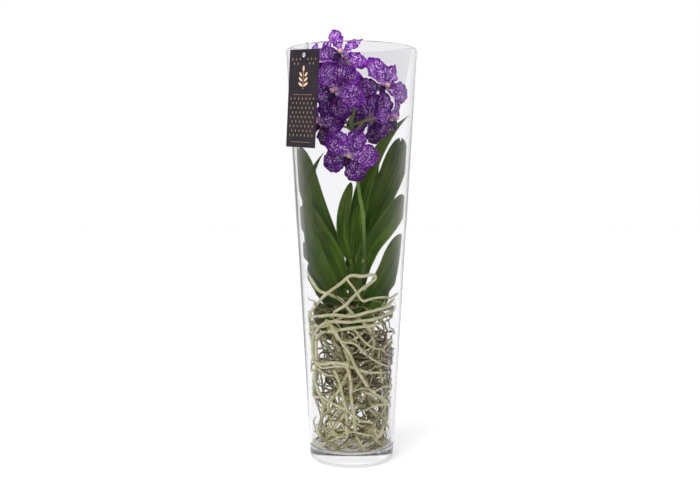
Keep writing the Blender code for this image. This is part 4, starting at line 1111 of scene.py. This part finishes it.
def leaf_half_width(t, width, notch):
    """Half the blade's width along it: narrow at the sheath, a long strap, then a round or pointed tip."""
    full = min(1.0, t / LEAF_FULL_WIDTH_AT) ** LEAF_WIDENING
    widening = LEAF_BASE_SHARE + (1 - LEAF_BASE_SHARE) * full
    if notch:
        start = LEAF_ROUND_FROM + LEAF_BLUNTER * min(1.0, notch / LEAF_BLUNT_NOTCH)
        tip = max(0.0, 1 - ((t - start) / (1 - start)) ** 2) ** 0.5 if t > start else 1.0
        tip = max(tip, LEAF_BLUNT_END)
    else:
        beyond = max(0.0, (t - LEAF_POINT_FROM) / (1 - LEAF_POINT_FROM))
        tip = max(LEAF_SHARP_END, 1 - beyond ** LEAF_POINT_SHAPE)
    return width / 2 * widening * tip


def leaf_thickness(t, v):
    """The blade is thicker along its midrib, and thinner at its rims and its end."""
    rim = 1 - LEAF_RIM_THINNER * abs(v) ** 3
    rib = 1 + LEAF_RIB_THICKER * max(0.0, 1 - abs(v) / LEAF_RIB_WIDTH)
    end = 1 - LEAF_END_THINNER * ease((t - 1 + LEAF_END_LENGTH) / LEAF_END_LENGTH)
    return LEAF_THICKNESS * rim * rib * end


def inside_glass(point):
    """The point itself, or the nearest one that keeps a leaf clear of the glass and of the roots along it."""
    room = LEAF_CLEARANCE + ROOT_ROOM * min(1.0, max(0.0, (ROOT_ZONE_TOP - point.z) / ROOT_ZONE_FADE))
    return within(point, (wall_radius(point.z) - room) * cos(pi / VASE_SIDES))


def curve_length(curve):
    points = [bezier(*curve, i / LENGTH_STEPS) for i in range(LENGTH_STEPS + 1)]
    return sum((there - here).length for here, there in zip(points, points[1:]))


def make_leaf(number, green, name, base, middle_1, middle_2, tip, width, face_base, face_tip, notch):
    """A strap leaf: folded like a keel at its base and flatter towards its tip, with softly waved edges."""
    end, ahead = blade_start(base, middle_1, middle_2, tip)
    curve = cubic_through(end + ahead * LEAF_GAP, middle_1, middle_2, tip)
    draw = random.Random(LEAF_SEED + number)
    phases = [draw.uniform(0, FULL_TURN) for _ in range(4)]
    tone = LEAF_TONES.get(name, draw.uniform(0.0, 0.5))
    grid, places, shares, thickness = blank_sheet(LEAF_ROWS + 1, LEAF_COLUMNS + 1)
    length = curve_length(curve)
    for i in range(LEAF_ROWS + 1):
        t = 1 - (1 - i / LEAF_ROWS) ** LEAF_CROWDING
        here = bezier(*curve, t)
        further = bezier(*curve, min(1.0, t + LEAF_WAY_STEP))
        way = (further - bezier(*curve, max(0.0, t - LEAF_WAY_STEP))).normalized()
        face = Vector(face_base).lerp(Vector(face_tip), t)
        across = way.cross(face).normalized()
        up = across.cross(way).normalized()
        half = leaf_half_width(t, width, notch)
        fold = radians(LEAF_FOLD_BASE - LEAF_FOLD_LOST * min(1.0, t / LEAF_FOLD_UNTIL))
        notched = notch * width * max(0.0, (t - 1 + LEAF_NOTCH_LENGTH) / LEAF_NOTCH_LENGTH)
        for j in range(LEAF_COLUMNS + 1):
            v = 2 * j / LEAF_COLUMNS - 1
            reach = half * v * cos(fold)
            # The fold is round at the midrib, not a sharp crease
            rise = half * (sqrt(v * v + LEAF_KEEL_ROUND**2) - LEAF_KEEL_ROUND) * sin(fold)
            turn = LEAF_WAVE_TURN * t + phases[0 if v < 0 else 1]
            wave = LEAF_WAVE * v * v * sin(turn) * min(1.0, LEAF_WAVE_IN * t)
            back = notched * (1 - abs(v))
            grid[i, j] = inside_glass(here + across * reach + up * (rise + wave) - way * back)
            places[i, j] = (t * length * 1000, half * v * 1000, number * 7.3)
            shares[i, j] = (t, v, tone)
            thickness[i, j] = leaf_thickness(t, v)
    shape = Shape()
    shape.sheet(grid, thickness, places, shares)
    return shape.build(name + "_blade", green, (name,))


def stalk_point(height):
    """The point of the flower stalk at a height, by straight runs between its route points."""
    for low, high in zip(SPIKE_ROUTE, SPIKE_ROUTE[1:]):
        if low[2] <= height <= high[2]:
            return Vector(low).lerp(Vector(high), (height - low[2]) / (high[2] - low[2]))
    return Vector(SPIKE_ROUTE[-1])


def pedicel_route(centre, facing, height):
    """From the stalk outwards and then round to the way that the bloom faces."""
    start = stalk_point(height)
    facing = Vector(facing).normalized()
    end = Vector(centre) - facing * (HEART_RADIUS * HEART_LONGER + SEAT)
    out = end - start
    control_1 = start + Vector((out.x, out.y, 0.0)) * PEDICEL_OUTWARDS + Vector((0, 0, PEDICEL_RISE))
    control_2 = end - facing * PEDICEL_APPROACH
    shares = [i / (PEDICEL_POINTS - 1) for i in range(PEDICEL_POINTS)]
    return [bezier(start, control_1, control_2, end, share) for share in shares]


def add_stalk(shape):
    """The stalk itself, swollen at its joints and darkened low down by painted shade."""
    route = smooth_route(SPIKE_ROUTE, FINE_STEP)
    last = len(route) - 1
    radii = []
    for i, place in enumerate(route):
        swell = sum(exp(-((place.z - z) / JOINT_REACH) ** 2) for z in JOINT_HEIGHTS)
        radii.append(SPIKE_RADIUS * (1 - STALK_TAPER * i / last) * (1 + JOINT_SWELL * swell))
    shape.tube(route, radii, STALK_SIDES, number=1.0, tone=STALK_TONE)
    # The tone falls to 0 below the first height, which paints shade on the low stalk
    dark, bright = STALK_PAINTED_SHADE_HEIGHTS
    heights = shape.points[-1][:, 2]
    shape.shares[-1][:, 2] = STALK_TONE * np.clip((heights - dark) / (bright - dark), 0, 1)


def make_spike(paint):
    """The stalk with a bract at each joint and pedicel, pedicels that turn lilac, and the buds."""
    shape = Shape()
    add_stalk(shape)
    low, high = PEDICEL_TONES
    for name, centre, facing, roll, radius, height in BLOOMS:
        path = pedicel_route(centre, facing, height)
        turns = [pi * i / (PEDICEL_POINTS - 1) for i in range(PEDICEL_POINTS)]
        widths = [PEDICEL_RADIUS * (PEDICEL_END_GIRTH - PEDICEL_WAIST * sin(turn)) for turn in turns]
        shape.tube(path, widths, PEDICEL_SIDES, height * 40)
        share = shape.shares[-1]
        share[:, 2] = low + (high - low) * share[:, 0]
        bract(shape, stalk_point(height - PEDICEL_BRACT_BELOW), path[3] - path[0], *PEDICEL_BRACT)
    for height, lean in zip(JOINT_HEIGHTS, JOINT_BRACT_LEANS):
        bract(shape, stalk_point(height), Vector((lean, -1.0, 0.0)), *JOINT_BRACT)
    first, span = BUD_SINE
    for place, way, length, girth, tone in BUDS:
        step = Vector(way).normalized() * length
        gone = [i / BUD_STEPS for i in range(BUD_STEPS + 1)]
        path = [Vector(place) + step * share for share in gone]
        widths = [girth * max(BUD_LEAST, sin(pi * (first + span * share))) for share in gone]
        shape.tube(path, widths, BUD_SIDES, number=50.0, tone=tone)
    return shape.build("flower_stalk", paint, ("flower_spike",))


def bract(shape, place, outward, length, width):
    """A small scale that hugs the stalk and points up and outwards."""
    out = Vector((outward.x, outward.y, 0.0))
    out = out.normalized() if out.length > 1e-6 else Vector((0, -1, 0))
    side = out.cross(Vector((0, 0, 1))).normalized()
    grid, _, shares, thickness = blank_sheet(BRACT_ROWS, BRACT_COLUMNS)
    for i in range(BRACT_ROWS):
        u = i / (BRACT_ROWS - 1)
        half = width / 2 * sqrt(max(0.02, 1 - u * u))
        for j in range(BRACT_COLUMNS):
            v = 2 * j / (BRACT_COLUMNS - 1) - 1
            reach = SPIKE_RADIUS * BRACT_HUGS + BRACT_OPENS * u * u - BRACT_BENDS * v * v * (1 - 0.5 * u)
            rise = Vector((0, 0, length * (u - BRACT_STARTS_BELOW)))
            grid[i, j] = place + out * reach + side * (half * v) + rise
            shares[i, j] = (u, v, BRACT_TONE)
    shape.sheet(grid, thickness + BRACT_THICKNESS, shares * 5, shares)


def tepal_outline(u, pointed):
    """Half width of a tepal from its claw (u 0) to its end (u 1), as a share of its widest place."""
    body = TEPAL_CLAW + (1 - TEPAL_CLAW) * ease(u / TEPAL_WIDEST_AT)
    beyond = max(0.0, (u - TEPAL_WIDEST_AT) / (1 - TEPAL_WIDEST_AT))
    if pointed:
        end = 1 - ease(beyond) * (TEPAL_POINT[0] + TEPAL_POINT[1] * beyond)
    else:
        end = sqrt(1 - min(1.0, beyond * beyond))
    return body * max(TEPAL_LEAST, end)


def bloom_matrix(centre, facing, roll):
    """Puts a bloom's +Z along the way it faces and its +Y upwards, then rolls it."""
    forward = Vector(facing).normalized()
    right = Vector((0, 0, 1)).cross(forward).normalized()
    up = forward.cross(right)
    turn = Matrix((right, up, forward)).transposed().to_4x4()
    return Matrix.Translation(Vector(centre)) @ turn @ Matrix.Rotation(radians(roll), 4, "Z")


def tepal_rise(u, v, phase, ruffles):
    """How far a tepal's face rises, in tepal lengths: waves, keel, midrib's crease and backward bend."""
    right = v > 0
    turns = TEPAL_WAVE_TURNS * (1 if right else TEPAL_OTHER_EDGE)
    wave = TEPAL_WAVE * u * v * v * sin(phase + turns * pi * u)
    ruffle = sin(TEPAL_RUFFLE_TURNS * pi * u + ruffles[0 if right else 1]) * min(1.0, u * TEPAL_RUFFLE_IN)
    wave += TEPAL_RUFFLE * abs(v) ** TEPAL_EDGE * ruffle
    tip = ease((u - TEPAL_TIP_WAVE_FROM) / (1 - TEPAL_TIP_WAVE_FROM))
    wave += TEPAL_TIP_WAVE * tip * sin(TEPAL_TIP_WAVE_TURN * v + ruffles[2])
    keel = -TEPAL_KEEL * (1 - abs(v) ** TEPAL_KEEL_SHAPE) * sin(pi * u)
    crease = -TEPAL_CREASE * exp(-(v / TEPAL_CREASE_WIDTH) ** 2) * sin(pi * min(1.0, u * TEPAL_CREASE_LENGTH))
    bend = TEPAL_ARCH * sin(pi * u * TEPAL_ARCH_LENGTH) - TEPAL_REFLEX * u * u
    return wave + keel + crease + bend


def tepal(shape, direction, length, width, depth, phase, number, tone, pointed, draw):
    """One tepal along +X turned to its direction: reflexed at its end, with a waved and ruffled edge."""
    start = HEART_RADIUS * TEPAL_START
    ruffles = [draw.uniform(0, FULL_TURN) for _ in range(4)]
    grid, places, shares, thickness = blank_sheet(TEPAL_LENGTHWISE + 1, TEPAL_ACROSS + 1)
    slow, fast = TEPAL_NICK_TURNS
    for i in range(TEPAL_LENGTHWISE + 1):
        u = 1 - (1 - i / TEPAL_LENGTHWISE) ** TEPAL_CROWDING
        half = width / 2 * tepal_outline(u, pointed)
        nick = TEPAL_NICK * length * (sin(slow * pi * u + ruffles[3]) + sin(fast * pi * u + ruffles[1]))
        thinner = 1 - TEPAL_END_THINNER * ease((u - TEPAL_END_FROM) / (1 - TEPAL_END_FROM))
        for j in range(TEPAL_ACROSS + 1):
            v = 2 * j / TEPAL_ACROSS - 1
            x = start + length * u * (1 - TEPAL_TIP_DROP * v * v)
            y = half * v + nick * abs(v) ** TEPAL_EDGE * (1 if v > 0 else -1)
            grid[i, j] = (x, y, depth + length * tepal_rise(u, v, phase, ruffles))
            places[i, j] = (length * u * 1000, half * v * 1000, number)
            shares[i, j] = (u, v, tone)
            thickness[i, j] = TEPAL_THICKNESS * (1 - TEPAL_RIM_THINNER * abs(v) ** 3) * thinner
    turn = np.array(Matrix.Rotation(radians(direction), 3, "Z"))
    shape.sheet(grid @ turn.T, thickness, places, shares)


def lip_sheet(shape):
    """The lip's front lobe: thick, ridged, waisted and curled back at its end."""
    way = Vector(LIP_WAY).normalized()
    side = way.cross(Vector((0, 0, 1))).normalized()
    up = side.cross(way)
    grid, _, shares, thickness = blank_sheet(LIP_ROWS, LIP_COLUMNS)
    narrow, rate, shift = LIP_WAIST
    for i in range(LIP_ROWS):
        u = i / (LIP_ROWS - 1)
        waist = narrow + (1 - narrow) * sin(pi * (rate * u + shift)) ** 2
        beyond = max(0.0, (u - LIP_END_FROM) / (1 - LIP_END_FROM))
        half = LIP_WIDTH / 2 * waist * sqrt(max(0.03, 1 - beyond**2))
        for j in range(LIP_COLUMNS):
            v = 2 * j / (LIP_COLUMNS - 1) - 1
            ridge = LIP_RIDGE[0] * cos(LIP_RIDGE[1] * v) * sin(pi * u)
            height = ridge - LIP_HOLLOW * v * v - LIP_CURL * LIP_LENGTH * u * u
            grid[i, j] = Vector(LIP_BASE) + way * (LIP_LENGTH * u) + side * (half * v) + up * height
            shares[i, j] = (u, v, 0.0)
    shape.sheet(grid, thickness + LIP_THICKNESS, shares * 6, shares)


def make_bloom(number, petals, paints, name, centre, facing, roll, radius, height):
    """The tepals as one piece, then the lip, its side lobes, the column and its cap."""
    draw = random.Random(BLOOM_SEED + number)
    matrix = bloom_matrix(centre, facing, roll)
    tepals = Shape()
    for i, (direction, length, width, depth) in enumerate(TEPALS):
        tone = TEPAL_TONES[i] + BLOOM_TONES.get(name, 0.0)
        pointed = i == 0 and name in POINTED_BLOOMS
        breadth = width * radius * SLIM_BLOOMS.get(name, 1.0)
        phase = i * TEPAL_PHASE_STEP + roll
        tepal(tepals, direction, length * radius, breadth, depth, phase, number * 5 + i, tone, pointed, draw)
    tepals.move(matrix)
    tepals.build(name + "_tepals", petals, (name,))
    for part, balls in PART_BALLS.items():
        shape = Shape()
        if part == "lip":
            lip_sheet(shape)
        for ball in balls:
            shape.ball(*ball, number)
        shape.move(matrix)
        shape.build(f"{name}_{part}", paints[part])


def crown_point(height):
    lowest, highest = CROWN_USED
    share = (height - CROWN_LOW.z) / (CROWN_TOP.z - CROWN_LOW.z)
    return CROWN_LOW.lerp(CROWN_TOP, min(highest, max(lowest, share)))


def wandering_root(draw):
    """A root that leaves the crown, runs out to the glass and winds down to the floor."""
    bearing = draw.uniform(0, 360)
    leaves_at = draw.uniform(*WANDERERS_LEAVE_AT)
    turn = draw.choice((-1, 1)) * draw.uniform(*WANDER_TURN)
    route = [crown_point(leaves_at)]
    height = leaves_at + draw.uniform(*WANDER_FIRST_RISE)
    inset = draw.uniform(*WANDER_FIRST_INSET)
    nearest, furthest = WANDER_INSET
    while height > WANDER_LOWEST:
        route.append(on_wall(bearing, height, inset))
        bearing += turn * draw.uniform(*WANDER_UNEVEN)
        height -= draw.uniform(*WANDER_SINK)
        inset = min(furthest, max(nearest, inset + draw.uniform(*WANDER_DRIFT)))
    route.append(on_wall(bearing + turn, WANDER_LANDING_HEIGHT, max(WANDER_LANDING_INSET, inset)))
    route.append(on_wall(bearing + WANDER_END_TURNS * turn, VASE_FLOOR, max(WANDER_END_INSET, inset)))
    return route


def root_routes():
    """The thick roots' routes and girths, drawn in the same order as in the part."""
    routes = []
    for i, waypoints in enumerate(ROOT_ROUTES):
        origin = crown_point(FIRST_ROOT_LEAVES_AT + NEXT_ROOT_ABOVE * i)
        bow = origin.lerp(on_wall(*waypoints[0]), 0.5) + Vector((0, 0, ROOT_BOW))
        routes.append([origin, bow] + [on_wall(*w) for w in waypoints])
    draw = random.Random(ROOT_SEED)
    routes += [wandering_root(draw) for _ in range(WANDERING_ROOTS)]
    girths = [ROOT_RADIUS] * len(ROOT_ROUTES)
    girths += [ROOT_RADIUS * draw.uniform(*WANDER_GIRTH) for _ in range(WANDERING_ROOTS)]
    return routes, girths


def lay_root(shape, waypoints, girth, number, tone, draw, wobble):
    """A lumpy, slightly wavering root along its waypoints, kept over the floor and off the glass."""
    route = smooth_route(waypoints, ROOT_STEP)
    last = len(route) - 1
    phases = [draw.uniform(0, FULL_TURN) for _ in range(6)]
    rate = ROOT_SWAY_RATE if wobble < FINE_SWAY_FROM else FINE_SWAY_RATE
    (lump_1, rate_1), (lump_2, rate_2) = ROOT_LUMPS
    corner = wall_radius(VASE_FLOOR) - GLASS_FLOOR_ROUND
    laid, radii = [], []
    for k, place in enumerate(route):
        sway = Vector([sin(rate * share * k + phase) for share, phase in zip(SWAY_RATES, phases)]) * wobble
        lumps = lump_1 * sin(rate_1 * k + phases[3]) + lump_2 * sin(rate_2 * k + phases[4])
        radius = girth * (1 + lumps)
        if k > last - ROOT_TAIL:
            radius *= ROOT_END_GIRTH + (1 - ROOT_END_GIRTH) * (last - k) / ROOT_TAIL
        point = place + sway * min(1.0, k / SWAY_IN)
        point = within(point, wall_radius(point.z) - radius - ROOT_OFF_GLASS)
        over_corner = max(0.0, hypot(point.x, point.y) - corner)
        point.z = max(point.z, VASE_FLOOR + radius + SEAT + over_corner**2 * CORNER_RISE)
        laid.append(point)
        radii.append(radius)
    shape.tube(laid, radii, ROOT_SIDES if girth > FINE_ROOT_GIRTH else FINE_ROOT_SIDES, number, tone)


def side_root(draw, routes):
    """A thinner root that starts on a thick one and runs beside the glass."""
    parent = smooth_route(routes[draw.randrange(len(routes))], SIDE_STEP)
    start = parent[draw.randrange(2, len(parent) - 1)]
    bearing = degrees(atan2(start.x, -start.y))
    height = start.z
    turn = draw.choice((-1, 1)) * draw.uniform(*SIDE_TURN)
    slope = draw.uniform(*SIDE_SLOPE)
    inset = wall_radius(height) - hypot(start.x, start.y)
    lowest, highest = SIDE_HEIGHTS
    nearest, furthest = SIDE_INSET
    route = [start]
    for _ in range(draw.randrange(*SIDE_RUNS)):
        bearing += turn * draw.uniform(*SIDE_UNEVEN)
        height = min(highest, max(lowest, height + slope + draw.uniform(*SIDE_RISE)))
        inset = min(furthest, max(nearest, inset + draw.uniform(*SIDE_DRIFT)))
        route.append(on_wall(bearing, height, inset))
    return route


def tangled_root(draw):
    """A thin root of the brown tangle that fills the middle and the right of the glass."""
    here = Vector([draw.gauss(middle, spread) for middle, spread in zip(TANGLE_CENTRE, TANGLE_SPREAD)])
    way = Vector([draw.gauss(0, spread) for spread in TANGLE_WAY]).normalized()
    lowest, highest = TANGLE_HEIGHTS
    route = []
    for _ in range(draw.randrange(*TANGLE_RUNS)):
        here.z = min(highest, max(lowest, here.z))
        here = within(here, wall_radius(here.z) - TANGLE_OFF_GLASS)
        route.append(here.copy())
        way = (way + Vector([draw.gauss(0, TANGLE_TURN) for _ in range(3)])).normalized()
        here = here + way * TANGLE_RUN
    return route


def fine_roots(name, paint, count, course, girth, number, step, tone, draw, wobble):
    """One piece with many thin roots: course draws a root's points and tone its shade.

    The number of the first root and the step to the next one set them apart in the root paint.
    """
    shape = Shape()
    for i in range(count):
        lay_root(shape, course(), draw.uniform(*girth), number + i * step, tone(), draw, wobble)
    shape.build(name, paint)


def make_roots(paint):
    """The thick roots of the part, with thinner side roots, hair roots and a brown tangle between them."""
    thick = Shape()
    draw = random.Random(FINE_ROOT_SEED)
    crown = smooth_route([CROWN_LOW, CROWN_LOW.lerp(CROWN_TOP, 0.5), CROWN_TOP], STEM_STEP)
    widths = [CROWN_GIRTH + CROWN_SWELL * ease(i / CROWN_SWELL_STEPS) for i in range(len(crown))]
    thick.tube(crown, widths, STEM_SIDES, number=40.0, tone=0.75)
    routes, girths = root_routes()
    for i, (route, girth) in enumerate(zip(routes, girths)):
        tone = 0.0 if i < len(ROOT_ROUTES) else draw.choice(ROOT_TONES)
        lay_root(thick, route, girth, i * 3.1, tone, draw, ROOT_SWAY)
    thick.build("thick_roots", paint, ("roots",))

    def beside():
        return side_root(draw, routes)

    def tangled():
        return tangled_root(draw)

    def side_tone():
        return draw.choice(SIDE_TONES)

    def hair_tone():
        return draw.uniform(*HAIR_TONES)

    def tangle_tone():
        return draw.choice(TANGLE_TONES)

    fine_roots("thin_roots", paint, SIDE_ROOTS, beside, SIDE_GIRTH, 60, 2.3, side_tone, draw, FINE_SWAY)
    fine_roots("hair_roots", paint, HAIR_ROOTS, beside, HAIR_GIRTH, 120, 1.7, hair_tone, draw, HAIR_SWAY)
    fine_roots("root_tangle", paint, TANGLE_ROOTS, tangled, TANGLE_GIRTH, 300, 1.3, tangle_tone, draw,
               FINE_SWAY)


def make_camera():
    camera = bpy.data.cameras.new("camera")
    camera.lens = LENS
    camera.shift_x = -OBJECT_RIGHT_OF_CENTRE
    obj = linked("camera", camera)
    obj.location = CAMERA_PLACE
    obj.rotation_euler = (CAMERA_AIM - CAMERA_PLACE).to_track_quat("-Z", "Y").to_euler()
    bpy.context.scene.camera = obj


def make_floor():
    mesh = bpy.data.meshes.new("floor")
    size = FLOOR_HALF_SIZE
    corners = [(-size, -size, 0), (size, -size, 0), (size, size, 0), (-size, size, 0)]
    mesh.from_pydata(corners, [], [(0, 1, 2, 3)])
    floor = linked("floor", mesh)
    floor.location.z = -SEAT
    paint = Paint("pale_floor", Roughness=0.9, Specular_IOR_Level=0.1)
    paint.shader.inputs["Base Color"].default_value = FLOOR_TONE
    paint.shader.inputs["Emission Color"].default_value = WHITE
    paint.shader.inputs["Emission Strength"].default_value = FLOOR_GLOW
    mesh.materials.append(paint.material)


def sun(name, comes_from, spread, power):
    """A very large soft light that comes from the given direction."""
    light = bpy.data.lights.new(name, "SUN")
    light.angle = radians(spread)
    light.energy = power
    linked(name, light).rotation_euler = Vector(comes_from).to_track_quat("Z", "Y").to_euler()


def make_lights():
    """A white studio, brighter behind the object than before it, with a soft key light and a fill."""
    world = bpy.data.worlds.new("studio")
    world.use_nodes = True
    tree = world.node_tree
    way = tree.nodes.new("ShaderNodeSeparateXYZ")
    tree.links.new(tree.nodes.new("ShaderNodeTexCoord").outputs["Generated"], way.inputs[0])
    depth = tree.nodes.new("ShaderNodeMapRange")
    for socket, value in zip(depth.inputs[1:], (*WORLD_TURNS_BRIGHT, WORLD_BEFORE, WORLD_BEHIND)):
        socket.default_value = value
    tree.links.new(way.outputs["Y"], depth.inputs[0])
    background = tree.nodes["Background"]
    background.inputs["Color"].default_value = WHITE
    tree.links.new(depth.outputs[0], background.inputs["Strength"])
    bpy.context.scene.world = world
    sun("key", KEY_FROM, KEY_SPREAD, KEY_LIGHT)
    sun("fill", FILL_FROM, FILL_SPREAD, FILL_LIGHT)


def wear(node, material):
    """Gives a node of the part its material."""
    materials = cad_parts[node].data.materials
    materials.clear()
    materials.append(material)


def dress():
    wear("tag", card_paint())
    wear("tag_strap", strap_paint())
    make_vase(glass_paint("clear_glass", *WALL_GLASS), glass_paint("foot_glass", *FOOT_GLASS))
    make_tag_print(print_paint())
    green = leaf_paint("leaf_green")
    make_stem(green)
    for number, leaf in enumerate(LEAVES):
        make_leaf(number, green, *leaf)
    make_spike(stalk_paint("stalk_green"))
    petals = petal_paint("petal_violet", *PETAL_COLOURS)
    paints = {part: plain_paint(*look) for part, look in PART_PAINTS.items()}
    for number, bloom in enumerate(BLOOMS):
        make_bloom(number, petals, paints, *bloom)
    make_roots(root_paint("root_skin"))


make_camera()
bpy.context.scene.view_settings.view_transform = "Standard"
dress()
make_floor()
make_lights()
